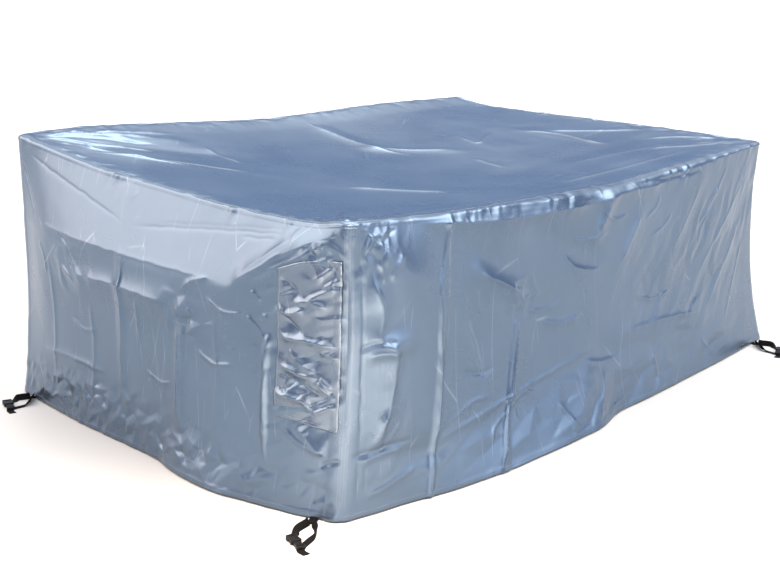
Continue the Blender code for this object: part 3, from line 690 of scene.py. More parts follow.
def top_cloth(across, along):
    """The top panel, stretched between the four seams, sagging in the middle. What the seams wander up
    and down dies away over it."""
    edges, wanders = [], []
    sides = {"front": across, "back": LENGTH - across, "left": WIDTH - along, "right": along}
    for wall, places in sides.items():
        edge = place(wall, places, 0 * places)
        wander = seam_wander(wall, np.clip(places, 0, WALLS[wall].length))
        edges.append(edge - np.stack([0 * wander, 0 * wander, wander], axis=-1))
        wanders.append(wander)
    front, back, left, right = edges
    share_x = (front[:, 0] - front[0, 0]) / (front[-1, 0] - front[0, 0])
    share_y = (right[:, 1] - right[0, 1]) / (right[-1, 1] - right[0, 1])
    u, v = (g[..., None] for g in np.meshgrid(share_x, share_y))
    corners = ((1 - u) * (1 - v) * front[0] + u * (1 - v) * front[-1]
               + (1 - u) * v * back[0] + u * v * back[-1])
    points = (1 - v) * front[None] + v * back[None] + (1 - u) * left[:, None] + u * right[:, None] - corners
    u, v = u[..., 0], v[..., 0]
    inside = np.clip(16 * u * (1 - u) * v * (1 - v), 0, 1) ** SAG_POWER  # 1 in the middle, 0 at a seam
    a, b = points[..., 0], points[..., 1]
    rise = fold_rise("top", a, b) * np.minimum(TOP_FADE * inside, 1) - SAG * inside
    from_edges = (v * WIDTH, (1 - v) * WIDTH, u * LENGTH, (1 - u) * LENGTH)
    nearest = np.minimum.reduce(from_edges)
    pucker = PUCKER_DEPTH * facets(a, b, TOP_PUCKER_CELL, 1.0, 0, SEED_TOP_PUCKERS)
    fine = fine_rise("top", a, b) + pucker * np.exp(-nearest / PUCKER_REACH)
    rise += fine * smooth_step(nearest / TOP_FINE_FADE)
    for wander, away, by_row in zip(wanders, from_edges, (False, False, True, True)):
        rise += (wander[:, None] if by_row else wander[None]) * np.exp(-away / WANDER_REACH)
    points[..., 2] += rise
    return points[::-1]


def grid_faces(rows, cols, start=0):
    """The quads between the points of a grid that is numbered row by row."""
    ids = start + np.arange(rows * cols).reshape(rows, cols)
    return np.stack([ids[:-1, :-1], ids[1:, :-1], ids[1:, 1:], ids[:-1, 1:]], axis=-1).reshape(-1, 4)


def run_along(points):
    """The distance along a row of points from its first point to each."""
    return np.concatenate([[0], np.cumsum(np.linalg.norm(np.diff(points, axis=0), axis=-1))])


def metres_over(points):
    """Places in metres across and down a grid of points, for its weave."""
    across, down = run_along(points[len(points) // 2]), run_along(points[:, points.shape[1] // 2])
    return np.stack(np.meshgrid(across, -down), axis=-1)


def quad_mesh(name, points, faces, uv):
    """A smooth mesh of quads from arrays of points, faces and UVs for every point."""
    mesh = bpy.data.meshes.new(name)
    mesh.vertices.add(len(points))
    mesh.vertices.foreach_set("co", points.astype(np.float32).ravel())
    mesh.loops.add(faces.size)
    mesh.loops.foreach_set("vertex_index", faces.astype(np.int32).ravel())
    mesh.polygons.add(len(faces))
    mesh.polygons.foreach_set("loop_start", np.arange(0, faces.size, 4, dtype=np.int32))
    mesh.update(calc_edges=True)
    layer = mesh.uv_layers.new(name="metres")
    layer.data.foreach_set("uv", uv[faces.ravel()].astype(np.float32).ravel())
    mesh.shade_smooth()
    return mesh


def open_sheet(name, outer, turn_up=()):
    """One layer of cloth. Its last row is turned up inside it, as far as the rows that turn_up names."""
    if turn_up:
        inner = (outer - CLOTH * normals(outer))[list(turn_up)]
        outer = np.concatenate([outer, inner])
    rows, cols = outer.shape[:2]
    return quad_mesh(name, outer.reshape(-1, 3), grid_faces(rows, cols), metres_over(outer).reshape(-1, 2))


def closed_sheet(name, outer, thickness):
    """Two layers of a sheet of some thickness, with a rim between them."""
    rows, cols = outer.shape[:2]
    total = rows * cols
    ids = np.arange(total).reshape(rows, cols)
    edge = np.concatenate([ids[0, :-1], ids[:-1, -1], ids[-1, :0:-1], ids[:0:-1, 0]])
    after = np.roll(edge, -1)
    rim = np.stack([edge, after, after + total, edge + total], axis=-1)
    faces = np.concatenate([grid_faces(rows, cols), grid_faces(rows, cols, total)[:, ::-1], rim])
    points = np.concatenate([outer, outer - thickness * normals(outer)]).reshape(-1, 3)
    uv = metres_over(outer).reshape(-1, 2)
    return quad_mesh(name, points, faces, np.concatenate([uv, uv]))


def put(name, data):
    """A new object in the scene."""
    obj = bpy.data.objects.new(name, data)
    bpy.context.scene.collection.objects.link(obj)
    return obj


def add(name, mesh, material, slot, *nodes):
    """A piece of the cover that stands for CAD nodes."""
    obj = put(name, mesh)
    mesh.materials.clear()
    mesh.materials.append(material)
    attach(obj, "root")
    if nodes:
        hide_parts(*nodes)
    return obj


def even(start, end, step):
    return np.linspace(start, end, max(2, round((end - start) / step) + 1))


ARC_STEPS = 7           # across each wall's half of a corner


def across_wall(length, step):
    arc = np.arange(1, ARC_STEPS + 1) / ARC_STEPS
    return np.concatenate([-arc[::-1], even(0, length, step), length + arc])


def down_wall(edge_rows, band_rows, fall_rows):
    edge = np.linspace(0, T_EDGE, edge_rows, endpoint=False)
    band = np.linspace(T_EDGE, T_SHOULDER, band_rows, endpoint=False)
    return np.concatenate([edge, band, np.linspace(T_SHOULDER, 1, fall_rows)])


# Materials.


def new_material(name):
    material = bpy.data.materials.new(name)
    material.use_nodes = True
    tree = material.node_tree
    return material, tree, tree.nodes["Principled BSDF"]


def node(tree, kind, inputs=(), **settings):
    made = tree.nodes.new(kind)
    for key, value in settings.items():
        setattr(made, key, value)
    for key, value in dict(inputs).items():
        if isinstance(value, bpy.types.NodeSocket):
            tree.links.new(value, made.inputs[key])
        else:
            made.inputs[key].default_value = value
    return made


def noise(tree, vector, scale, detail=3.0, rough=0.55):
    inputs = {"Vector": vector, "Scale": scale, "Detail": detail, "Roughness": rough}
    return node(tree, "ShaderNodeTexNoise", inputs).outputs["Fac"]


def threads(tree, metres, scale, distortion, direction):
    """The threads of a weave, from 0 to 1."""
    inputs = {"Vector": metres, "Scale": scale, "Distortion": distortion}
    return node(tree, "ShaderNodeTexWave", inputs, bands_direction=direction).outputs["Fac"]


def calculate(tree, operation, *values):
    return node(tree, "ShaderNodeMath", dict(enumerate(values)), operation=operation).outputs[0]


def ramp(tree, factor, stops):
    """A colour ramp of (place, colour) stops."""
    made = node(tree, "ShaderNodeValToRGB", {"Fac": factor})
    elements = made.color_ramp.elements
    while len(elements) < len(stops):
        elements.new(0.5)
    for element, (at, colour) in zip(elements, stops):
        element.position = at
        element.color = (*colour, 1)
    return made.outputs["Color"]


def spread_value(tree, factor, low, high, to_low, to_high):
    inputs = {"Value": factor, "From Min": low, "From Max": high, "To Min": to_low, "To Max": to_high}
    return node(tree, "ShaderNodeMapRange", inputs).outputs["Result"]


def add_values(tree, *parts):
    """The sum of sockets, each times a number."""
    total = None
    for socket, times in parts:
        scaled = calculate(tree, "MULTIPLY", socket, times)
        total = calculate(tree, "ADD", total, scaled) if total is not None else scaled
    return total


def surface(tree, shader, colour, rough, bump=None, **levels):
    """Link a colour, a roughness and a bump of (height, strength, distance), and set other inputs."""
    tree.links.new(colour, shader.inputs["Base Color"])
    tree.links.new(rough, shader.inputs["Roughness"])
    if bump:
        made = node(tree, "ShaderNodeBump", zip(("Height", "Strength", "Distance"), bump))
        tree.links.new(made.outputs["Normal"], shader.inputs["Normal"])
    for name, value in levels.items():
        shader.inputs[name.replace("_", " ")].default_value = value


# The paler colour painted along the film's crease lines: a painted highlight on them.
FILM_CREASE_HIGHLIGHT = (.36, .41, .50)
FILM_TURN, FILM_STRETCH = (0, 0, 0.6), (1.0, 0.24, 1.0)
FILM_LINES = ((6.0, 0.008, 0.35), (14.0, 0.018, 0.30))  # scale, breadth and strength


def film_creases(tree, metres, spot, scale, breadth):
    """Thin straight lines here and there where the film has been folded sharply, from 0 to 1."""
    drawn = node(tree, "ShaderNodeMapping", {"Vector": metres, "Rotation": FILM_TURN, "Scale": FILM_STRETCH})
    edges = node(tree, "ShaderNodeTexVoronoi", {"Vector": drawn.outputs["Vector"], "Scale": scale},
                 voronoi_dimensions="2D", feature="DISTANCE_TO_EDGE").outputs["Distance"]
    line = spread_value(tree, edges, 0.0, breadth, 1.0, 0.0)
    here = spread_value(tree, noise(tree, spot, 0.8 * scale, 1.0), 0.54, 0.68, 0.0, 1.0)
    return calculate(tree, "MULTIPLY", line, here)


def make_cloth(name, dark, light, metallic, rough, coat):
    """Coated woven cloth: a fine weave under a film that creases, with cloudy wear, and a highlight painted
    paler along the film's creases.
    """
    material, tree, shader = new_material(name)
    where = node(tree, "ShaderNodeTexCoord")
    metres, spot = where.outputs["UV"], where.outputs["Object"]
    cloudy = noise(tree, spot, 3.5, 4.0)
    worn = noise(tree, spot, 22.0, 5.0, 0.65)
    warp, weft = (threads(tree, metres, 140.0, 0.4, direction) for direction in "XY")
    shade = add_values(tree, (cloudy, 0.9), (worn, 0.1))
    middle = tuple((a + b) / 2 for a, b in zip(dark, light))
    crackle = noise(tree, spot, 75.0, 6.0, 0.6)
    lines = add_values(tree, *((film_creases(tree, metres, spot, scale, breadth), strength)
                               for scale, breadth, strength in FILM_LINES))
    height = add_values(tree, (warp, 0.08), (weft, 0.08), (crackle, 0.18), (lines, 0.8))
    # Along the film's crease lines the colour is mixed towards a paler one: a painted highlight of the
    # creases, besides their bump.
    paler = node(tree, "ShaderNodeMix", {"Factor": lines}, data_type="RGBA")
    tree.links.new(ramp(tree, shade, [(0.30, dark), (0.5, middle), (0.70, light)]), paler.inputs[6])
    paler.inputs[7].default_value = (*FILM_CREASE_HIGHLIGHT, 1)
    uneven = spread_value(tree, cloudy, 0.3, 0.7, rough - 0.03, rough + 0.04)
    surface(tree, shader, paler.outputs[2], uneven, (height, 0.2, 0.001), Metallic=metallic,
            Coat_Weight=coat, Coat_Roughness=0.22, Specular_IOR_Level=0.25)
    return material


def make_webbing():
    material, tree, shader = new_material("ribbed_webbing")
    where = node(tree, "ShaderNodeTexCoord")
    ribs = threads(tree, where.outputs["UV"], 180.0, 0.6, "X")
    cords = threads(tree, where.outputs["UV"], 95.0, 0.5, "Y")
    fuzz = noise(tree, where.outputs["Object"], 900.0, 3.0)
    shade = add_values(tree, (ribs, 0.45), (cords, 0.25), (fuzz, 0.3))
    colour = ramp(tree, shade, [(0.2, (.002, .002, .002)), (0.55, (.004, .004, .005)),
                                (0.9, (.014, .014, .016))])
    surface(tree, shader, colour, spread_value(tree, fuzz, 0.3, 0.7, 0.66, 0.85), (shade, 0.7, 0.0004),
            Specular_IOR_Level=0.05)
    return material


def make_plastic():
    material, tree, shader = new_material("moulded_plastic")
    spot = node(tree, "ShaderNodeTexCoord").outputs["Object"]
    grain = noise(tree, spot, 1400.0, 2.0)
    scuffs = noise(tree, spot, 160.0, 5.0, 0.7)
    colour = ramp(tree, scuffs, [(0.35, (.004, .004, .004)), (0.62, (.008, .008, .009)),
                                 (0.8, (.025, .025, .026))])
    surface(tree, shader, colour, spread_value(tree, scuffs, 0.3, 0.75, 0.34, 0.55), (grain, 0.3, 0.0002),
            Specular_IOR_Level=0.15)
    return material


def make_thread():
    material, tree, shader = new_material("sewing_thread")
    twist = noise(tree, node(tree, "ShaderNodeTexCoord").outputs["Object"], 1200.0, 2.0)
    colour = ramp(tree, twist, [(0.3, (.09, .11, .14)), (0.7, (.20, .23, .28))])
    surface(tree, shader, colour, spread_value(tree, twist, 0.3, 0.7, 0.5, 0.7))
    return material


CLOTH_MATERIAL = make_cloth("coated_weave", (.090, .132, .192), (.105, .151, .217), 0.80, 0.28, 0.04)
PATCH_MATERIAL = make_cloth("patch_weave", (.110, .148, .204), (.142, .184, .242), 0.80, 0.26, 0.05)
WEBBING_MATERIAL = make_webbing()
PLASTIC_MATERIAL = make_plastic()
THREAD_MATERIAL = make_thread()

# The sheets of cloth.
GRIDS = {  # places along and shares down each wall
    "front": (across_wall(LENGTH, 0.0043), down_wall(10, 52, 118)),
    "left": (across_wall(WIDTH, 0.0036), down_wall(7, 64, 150)),
    "right": (across_wall(WIDTH, 0.0072), down_wall(7, 34, 86)),
    "back": (across_wall(LENGTH, 0.0078), down_wall(8, 40, 102)),
}
TOP_STEP = 0.0056
PATCH_ALONG_STEP, PATCH_SHARE_STEP, PATCH_ROUND = 0.0025, 0.0095, 4  # PATCH_ROUND steps round the corner
TURN_UP = (-1, -2, -4, -6)  # the rows of a wall, from its hem up, that its turned-up hem follows

OUTSIDES = {wall: wall_cloth(wall, along, t) for wall, (along, t) in GRIDS.items()}
OUTSIDES["top"] = top_cloth(across_wall(LENGTH, TOP_STEP), across_wall(WIDTH, TOP_STEP))
patch_along = np.concatenate([even(PATCH_FROM, WIDTH, PATCH_ALONG_STEP),
                              WIDTH + np.arange(1, PATCH_ROUND + 1) / ARC_STEPS])
patch_share = even(0, 1, PATCH_SHARE_STEP)
on_wall = wall_cloth("left", patch_along, patch_share, patch_down)
OUTSIDES["patch"] = on_wall + PATCH_LIFT * normals(on_wall)

for wall in ORDER:
    mesh = open_sheet("wall_" + wall + "_cloth", OUTSIDES[wall], TURN_UP)
    add(mesh.name, mesh, CLOTH_MATERIAL, "coated_cloth", "wall_" + wall)
mesh = open_sheet("top_panel_cloth", OUTSIDES["top"])
add(mesh.name, mesh, CLOTH_MATERIAL, "coated_cloth", "top_panel")
mesh = closed_sheet("corner_patch_cloth", OUTSIDES["patch"], PATCH_THICK)
add(mesh.name, mesh, PATCH_MATERIAL, "patch_cloth", "corner_patch")

# Stitching, a short thread each, along the seams and the hem.
STITCH, STITCH_GAP, STITCH_WIDE, STITCH_HIGH = 0.0034, 0.0016, 0.0009, 0.0006
STITCH_INSET = 0.18     # how much shorter its top is at each end, as a share of its length


def on_sheet(panel, along, t):
    """Points of a wall or patch, and the directions out of it, at places along it and shares down it."""
    cols, rows = (patch_along, patch_share) if panel == "patch" else GRIDS[panel]
    col = np.clip(np.interp(along, cols, np.arange(len(cols))), 0, len(cols) - 1.001)
    row = np.clip(np.interp(t, rows, np.arange(len(rows))), 0, len(rows) - 1.001)
    i, j = row.astype(int), col.astype(int)
    v, u = (row - i)[:, None], (col - j)[:, None]
    found = []
    for grid in (OUTSIDES[panel], OUTWARDS[panel]):
        found.append((1 - v) * ((1 - u) * grid[i, j] + u * grid[i, j + 1])
                     + v * ((1 - u) * grid[i + 1, j] + u * grid[i + 1, j + 1]))
    return found


def stitch_row(panel, along, t):
    """Corners of the stitches along a line on a wall or patch, as (stitches, 8, 3)."""
    points, outs = on_sheet(panel, along, t)
    run = run_along(points)
    starts = np.arange(STITCH_GAP, run[-1] - STITCH, STITCH + STITCH_GAP)
    ends = starts + STITCH
    head, tail = (np.stack([np.interp(at, run, points[:, k]) for k in range(3)], axis=-1)
                  for at in (starts, ends))
    out = np.stack([np.interp(starts, run, outs[:, k]) for k in range(3)], axis=-1)
    out /= np.linalg.norm(out, axis=-1, keepdims=True)
    ahead = tail - head
    side = np.cross(out, ahead / np.linalg.norm(ahead, axis=-1, keepdims=True)) * STITCH_WIDE / 2
    corners = []
    for lift in (-STITCH_HIGH, STITCH_HIGH):
        inset = STITCH_INSET * ahead if lift > 0 else 0 * ahead
        for end, shift in ((head, inset), (tail, -inset)):
            corners += [end + shift + side + out * lift, end + shift - side + out * lift]
    return np.stack(corners, axis=1)


STITCH_FACES = np.array([(0, 1, 5, 4), (3, 2, 6, 7), (1, 3, 7, 5), (2, 0, 4, 6), (4, 5, 7, 6)])


def stitches(name, rows):
    """One mesh of all the stitches of some rows."""
    corners = np.concatenate([stitch_row(*row) for row in rows])
    faces = (STITCH_FACES[None] + 8 * np.arange(len(corners))[:, None, None]).reshape(-1, 4)
    points = corners.reshape(-1, 3)
    return quad_mesh(name, points, faces, points[:, :2])


def below_seam(wall, along, distance):
    """The share down a wall of a line some distance below the top seam."""
    radius = CURVES[wall]["round"](np.clip(along, 0, WALLS[wall].length))
    return np.minimum(distance / (radius * EDGE_TURN), 1.0) * T_EDGE


def above_floor(wall, along, z):
    shoulder = CURVES[wall]["shoulder"](np.clip(along, 0, WALLS[wall].length))
    return 1 - (z - HEM_LIFT) / (shoulder - HEM_LIFT) * (1 - T_SHOULDER)


OUTWARDS = {panel: normals(points) for panel, points in OUTSIDES.items()}
SEAM_ROW, HEM_ROW = 0.0065, 0.017       # the rows below the top seam and above the floor
ROW_STEP = 0.004
CORNER_ROWS = (0.004, 0.010)            # the two rows beside a corner seam
CORNER_SHARES = np.linspace(0.01, 0.97, 240)  # the shares down a wall of the places that they follow
for wall in ORDER:
    length = WALLS[wall].length
    along = across_wall(length, ROW_STEP)
    t = CORNER_SHARES
    arc = corner_radius(t) * HALF_CORNER
    rows = [(wall, along, below_seam(wall, along, SEAM_ROW)),
            (wall, along, above_floor(wall, along, HEM_ROW))]
    for inset in CORNER_ROWS:
        rows += [(wall, -1 + inset / arc, t), (wall, length + 1 - inset / arc, t)]
    sewn = add("wall_" + wall + "_stitches", stitches("wall_" + wall + "_stitches", rows),
               THREAD_MATERIAL, "coated_cloth")
PATCH_INSETS = (0.005, 0.1, 0.02)   # of its stitches at its left and right edge, and at its top and foot
PATCH_PLACES = (80, 160)            # how many places they follow along it and down it
along = np.linspace(patch_along[0] + PATCH_INSETS[0], patch_along[-1] - PATCH_INSETS[1], PATCH_PLACES[0])
t = np.linspace(PATCH_INSETS[2], 1 - PATCH_INSETS[2], PATCH_PLACES[1])
rows = [("patch", along, np.full_like(along, t[0])), ("patch", along, np.full_like(along, t[-1])),
        ("patch", np.full_like(t, along[0]), t), ("patch", np.full_like(t, along[-1]), t)]
sewn = add("corner_patch_stitches", stitches("corner_patch_stitches", rows), THREAD_MATERIAL, "patch_cloth")

# The webbing loops and their buckles. Every point of a loop is on the floor: where its tab comes out
# under the hem, where its two arms bend, the outer ends of the buckle's halves, and the free end.
GAP = 0.0003
WEBBING, WEBBING_WIDTH = 0.0013, 0.020
TAB_LENGTH, TAB_WIDTH, TAB_STEPS = 0.034, 0.022, 12
ARM_SPREAD, ARM_STRAIGHT, ARM_OPENING = 0.0065, 0.012, 0.002
ARM_TILT = 62
ARM_STEPS, ARM_FLAT_STEPS, ARM_TWIST_STEPS = 15, 9, 6
BUCKLE_LIFT = WEBBING + 2 * GAP
SOCKET_LENGTH, SOCKET_HEIGHT, PLUG_HEIGHT = 0.036, 0.011, 0.008
SLOT_WIDTH, SLOT_BAR, SLOT_RAIL = 0.0035, 0.0035, 0.003
BUCKLE_ROUND, PRONG_ROUND = 0.0011, 0.0006
SOCKET_HALF, PLUG_HALF = 0.014, 0.012       # half their widths at the slot
THROUGH = (-0.01, 0.03)                     # the low and high of a cut right through
WEBBING_SHARP, BUCKLE_SHARP = math.radians(50), math.radians(35)  # edges sharper than these are shaded so
Loop = namedtuple("Loop", "name tab first second socket plug tail")
LOOPS = (
    Loop("near", (-1.118, -0.632), (-1.170, -0.638), (-1.152, -0.680), (-1.207, -0.652),
         (-1.231, -0.714), (-1.241, -0.741)),
    Loop("left", (-1.068, 0.632), (-1.108, 0.646), (-1.108, 0.590), (-1.146, 0.648),
         (-1.170, 0.586), (-1.182, 0.559)),
    Loop("right", (0.986, -0.745), (1.000, -0.792), (0.940, -0.790), (0.985, -0.838),
         (0.921, -0.857), (0.893, -0.865)),
    Loop("far", (1.092, 0.724), (1.124, 0.795), (1.168, 0.768), (1.163, 0.863),
         (1.217, 0.827), (1.243, 0.814)),
)
# A section of webbing, in shares of half its width and half its thickness: flat with thinner edges.
WEBBING_SECTION = ((-1, -.45), (-.9, -1), (0, -1), (.9, -1), (1, -.45),
                   (1, .45), (.9, 1), (0, 1), (-.9, 1), (-1, .45))
# Outlines of the buckle's halves from their outer ends: metres in, and half the width there.
SOCKET_OUTLINE = ((0, .0118), (.0015, .0138), (.012, .014), (.0155, .0122), (.0255, .0122), (.030, .014),
                  (.0345, .014), (.036, .0128))
PLUG_OUTLINE = ((0, .0102), (.0015, .0118), (.0095, .012), (.0125, .0098), (.5, .0098))


def ribbon(name, path, tilts, width=WEBBING_WIDTH, thick=WEBBING):
    """Webbing along a path on the floor. Its tilts, in degrees, stand it towards its edge."""
    points = [Vector((*p, 0.0)) for p in path]
    rings, uvs, run = [], [], 0.0
    for i, point in enumerate(points):
        run += (point - points[max(i - 1, 0)]).length
        ahead = (points[min(i + 1, len(points) - 1)] - points[max(i - 1, 0)]).normalized()
        tilt = math.radians(tilts[i])
        side = Matrix.Rotation(tilt, 3, ahead) @ ahead.cross(Vector((0, 0, 1)))
        face = side.cross(ahead)
        up = GAP + width / 2 * abs(math.sin(tilt)) + thick / 2 * abs(math.cos(tilt))
        middle = point + Vector((0, 0, up))
        rings.append([middle + side * width / 2 * a + face * thick / 2 * b for a, b in WEBBING_SECTION])
        uvs.append([(run, width / 2 * a) for a, _ in WEBBING_SECTION])
    count = len(WEBBING_SECTION)
    starts = [(i * count, k, (k + 1) % count) for i in range(len(rings) - 1) for k in range(count)]
    faces = [(at + k, at + after, at + count + after, at + count + k) for at, k, after in starts]
    mesh = quad_mesh(name, np.array([tuple(v) for ring in rings for v in ring]), np.array(faces),
                     np.array([uv for ring in uvs for uv in ring]))
    bm = bmesh.new()
    bm.from_mesh(mesh)
    bm.verts.ensure_lookup_table()
    for ring in (bm.verts[:count][::-1], bm.verts[-count:]):
        bm.faces.new(ring)
    bmesh.ops.recalc_face_normals(bm, faces=bm.faces)
    bm.to_mesh(mesh)
    bm.free()
    mesh.set_sharp_from_angle(angle=WEBBING_SHARP)
    return mesh


def solid(name, outline, low, high):
    """An upright solid over an outline of points on the floor."""
    bm = bmesh.new()
    base = bm.faces.new([bm.verts.new((x, y, low)) for x, y in outline])
    grown = bmesh.ops.extrude_face_region(bm, geom=[base])
    raised = [v for v in grown["geom"] if isinstance(v, bmesh.types.BMVert)]
    bmesh.ops.translate(bm, vec=(0, 0, high - low), verts=raised)
    bmesh.ops.recalc_face_normals(bm, faces=bm.faces)
    mesh = bpy.data.meshes.new(name)
    bm.to_mesh(mesh)
    bm.free()
    return put(name, mesh)


def carved(name, outline, height, cuts, extras, origin, heading):
    """A buckle's half: a rounded solid with blocks cut out of it and others added, set down at its place.
    Each cut and extra is (x0, x1, y0, y1, low, high)."""
    whole = [(x, -y) for x, y in outline] + [(x, y) for x, y in reversed(outline)]
    body = solid(name, whole, 0, height)
    edges = body.modifiers.new("edges", "BEVEL")
    edges.width, edges.segments, edges.limit_method = BUCKLE_ROUND, 3, "ANGLE"
    tools = []
    for kind, boxes in (("DIFFERENCE", cuts), ("UNION", extras)):
        for x0, x1, y0, y1, low, high in boxes:
            tool = solid(name + "_tool", [(x0, y0), (x1, y0), (x1, y1), (x0, y1)], low, high)
            if kind == "UNION":
                soft = tool.modifiers.new("edges", "BEVEL")
                soft.width, soft.segments = PRONG_ROUND, 2
            change = body.modifiers.new("tool", "BOOLEAN")
            change.operation, change.object, change.solver = kind, tool, "EXACT"
            tools.append(tool)
    bpy.context.view_layer.update()
    mesh = bpy.data.meshes.new_from_object(body.evaluated_get(bpy.context.evaluated_depsgraph_get()))
    for obj in (*tools, body):
        bpy.data.objects.remove(obj)
    mesh.name = name
    mesh.transform(Matrix.Translation((*origin, BUCKLE_LIFT)) @ Matrix.Rotation(heading, 4, "Z"))
    mesh.shade_smooth()
    mesh.set_sharp_from_angle(angle=BUCKLE_SHARP)
    return mesh


def make_loop(loop):
    """One closed webbing loop: a doubled tab under the hem, two arms, and the buckle between them."""
    name = "strap_" + loop.name
    tab, first, second, socket, plug, tail = (np.array(p) for p in loop[1:])
    way = (first + second) / 2 - tab
    way /= np.linalg.norm(way)
    side = np.array([-way[1], way[0]])
    line = [tab - way * TAB_LENGTH * (1 - i / TAB_STEPS) for i in range(TAB_STEPS + 1)]
    mesh = ribbon(name + "_tab_webbing", line, [0] * len(line), TAB_WIDTH, 2 * WEBBING + GAP)
    add(mesh.name, mesh, WEBBING_MATERIAL, "webbing", name + "_tab")
    axis = (plug - socket) / np.linalg.norm(plug - socket)
    inwards = axis * (SLOT_BAR + SLOT_WIDTH / 2)
    # Which side of the tab the first arm leaves it on.
    turned = 1 if way[0] * (first - second)[1] > way[1] * (first - second)[0] else -1
    for arm, hand, route in (
        ("_arm_a", turned, (first, socket + inwards)),
        ("_arm_b", -turned, (second, plug - inwards, tail)),
    ):
        start = tab + way * GAP + side * hand * ARM_SPREAD
        straight = start + way * ARM_STRAIGHT + side * hand * ARM_OPENING
        path = smooth_line([start, straight, *route], ARM_STEPS)
        bend = (len(route) + 1 if arm == "_arm_a" else len(route)) * ARM_STEPS
        upright = [min(1.0, max(bend - ARM_FLAT_STEPS - i, 0) / ARM_TWIST_STEPS) for i in range(len(path))]
        tilts = [hand * ARM_TILT * float(smooth_step(u)) for u in upright]
        mesh = ribbon(name + arm + "_webbing", path, tilts)
        add(mesh.name, mesh, WEBBING_MATERIAL, "webbing", name + arm)
    heading = math.atan2(axis[1], axis[0])
    slot = (SLOT_BAR, SLOT_BAR + SLOT_WIDTH)
    # The socket's slot, a shallow panel on its top, and a window in each side with a prong's end in it.
    cuts = [(*slot, -SOCKET_HALF + SLOT_RAIL, SOCKET_HALF - SLOT_RAIL, *THROUGH),
            (.0095, .0335, -.0065, .0065, .0100, .02),
            (.0165, .0245, -.02, -.0098, .0028, .0082),
            (.0165, .0245, .0098, .02, .0028, .0082)]
    prongs = [(.0170, .0240, -.0112, -.0085, .0034, .0076), (.0170, .0240, .0085, .0112, .0034, .0076)]
    mesh = carved(name + "_socket_shell", SOCKET_OUTLINE, SOCKET_HEIGHT, cuts, prongs, socket, heading)
    add(mesh.name, mesh, PLASTIC_MATERIAL, "buckle", name + "_socket")
    length = float(np.linalg.norm(plug - socket)) - SOCKET_LENGTH - GAP
    outline = [(min(x, length), y) for x, y in PLUG_OUTLINE]
    grooves = [(at, at + .0009, -.02, .02, .0074, .02) for at in (.0100, .0125, .0150)]
    cuts = [(*slot, -PLUG_HALF + SLOT_RAIL, PLUG_HALF - SLOT_RAIL, *THROUGH), *grooves]
    mesh = carved(name + "_plug_body", outline, PLUG_HEIGHT, cuts, [], plug, heading + math.pi)
    add(mesh.name, mesh, PLASTIC_MATERIAL, "buckle", name + "_plug")


for loop in LOOPS:
    make_loop(loop)

# The floor.
FLOOR_HALF = 95.0
bm = bmesh.new()
bmesh.ops.create_grid(bm, x_segments=8, y_segments=8, size=FLOOR_HALF)
floor_mesh = bpy.data.meshes.new("floor")
bm.to_mesh(floor_mesh)
bm.free()
material, tree, shader = new_material("pale_floor")
speckle = noise(tree, node(tree, "ShaderNodeTexCoord").outputs["Object"], 2.0, 2.0)
pale = ramp(tree, speckle, [(0.3, (.440, .440, .445)), (0.7, (.460, .460, .460))])
tree.links.new(pale, shader.inputs["Base Color"])
shader.inputs["Roughness"].default_value = 0.9
floor_mesh.materials.append(material)
floor = put("floor", floor_mesh)

# Light: a soft studio all round, from blue at the horizon to white above, with lobes of brighter light.
# azimuth and elevation say where a lobe is, and it is full inside inner and gone beyond outer, in degrees.
Lobe = namedtuple("Lobe", "azimuth elevation inner outer colour")
HORIZON, ZENITH = (0.18, 0.31, 0.60), (2.00, 2.00, 2.02)
HALFWAY = tuple((a + b) / 2 for a, b in zip(HORIZON, ZENITH))
SKY = ((0.31, HORIZON), (0.45, HALFWAY), (0.64, ZENITH))
LOBES = (
    Lobe(128, 27, 22, 32, (5.1, 3.95, 3.0)),
    Lobe(40, 58, 8, 18, (7.0, 6.8, 6.6)),
    Lobe(226, 20, 8, 28, (3.0, 2.7, 2.4)),
    Lobe(308, 12, 8, 21, (1.90, 1.90, 1.90)),
    Lobe(308, 46, 18, 33, (6.8, 6.2, 5.5)),
)
world = bpy.data.worlds.new("studio")
bpy.context.scene.world = world
world.use_nodes = True
tree = world.node_tree
direction = node(tree, "ShaderNodeTexCoord").outputs["Generated"]
height = node(tree, "ShaderNodeSeparateXYZ", {"Vector": direction}).outputs["Z"]
total = ramp(tree, height, SKY)
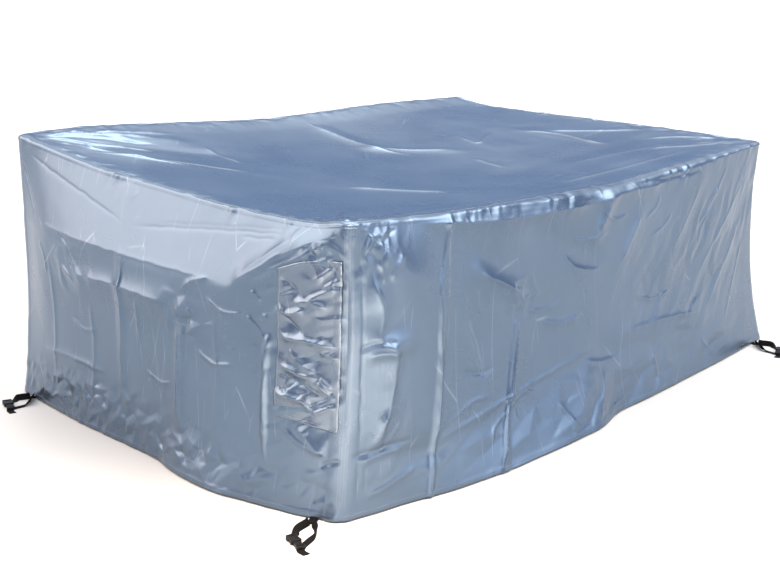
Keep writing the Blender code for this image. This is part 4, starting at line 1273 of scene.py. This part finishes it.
for lobe in LOBES:
    az, el = math.radians(lobe.azimuth), math.radians(lobe.elevation)
    towards = (math.cos(el) * math.cos(az), math.cos(el) * math.sin(az), math.sin(el))
    near = node(tree, "ShaderNodeVectorMath", {0: direction, 1: towards}, operation="DOT_PRODUCT")
    inputs = {"Value": near.outputs["Value"], "From Min": math.cos(math.radians(lobe.outer)),
              "From Max": math.cos(math.radians(lobe.inner))}
    share = node(tree, "ShaderNodeMapRange", inputs, interpolation_type="SMOOTHSTEP").outputs["Result"]
    lit = node(tree, "ShaderNodeMix", {"Factor": share, "B": (*lobe.colour, 1)}, data_type="RGBA")
    lit.inputs["A"].default_value = (0, 0, 0, 1)
    both = node(tree, "ShaderNodeMix", {"Factor": 1.0}, data_type="RGBA", blend_type="ADD")
    tree.links.new(total, both.inputs[6])
    tree.links.new(lit.outputs[2], both.inputs[7])
    total = both.outputs[2]
tree.links.new(total, tree.nodes["Background"].inputs["Color"])

# Soft boxes over the floor before the near corner and the front. The cloth that faces the camera there,
# and the flanks of the front's long creases, mirror that floor, so they are paler than what is beside them.
SoftBox = namedtuple("SoftBox", "name x y z size energy spread")
SOFT_BOXES = (
    SoftBox("soft_box_corner", -1.97, -1.72, 2.4, 1.3, 138, 62),
    SoftBox("soft_box_front", -0.60, -2.05, 2.4, 0.5, 20, 38),
)
LAMP_COLOUR = (1.0, 0.76, 0.55)
for box in SOFT_BOXES:
    lamp = bpy.data.lights.new(box.name, "AREA")
    lamp.size, lamp.energy, lamp.color = box.size, box.energy, LAMP_COLOUR
    lamp.spread = math.radians(box.spread)
    put(box.name, lamp).location = (box.x, box.y, box.z)

# The camera, at the photograph's viewing angle, for a frame of 780 by 585.
CAMERA_AT = (-3.133, -2.671, 1.347)
CAMERA_TURN, CAMERA_DOWN, CAMERA_ROLL = -48.36, 14.99, 0.49
camera = put("camera", bpy.data.cameras.new("camera"))
camera.data.lens = 59.49
camera.data.sensor_width = 36
camera.data.clip_end = 400
turn = (Matrix.Rotation(math.radians(CAMERA_TURN), 4, "Z")
        @ Matrix.Rotation(math.radians(90 - CAMERA_DOWN), 4, "X")
        @ Matrix.Rotation(math.radians(CAMERA_ROLL), 4, "Z"))
camera.matrix_world = Matrix.Translation(CAMERA_AT) @ turn
bpy.context.scene.camera = camera
bpy.context.scene.view_settings.view_transform = "Standard"
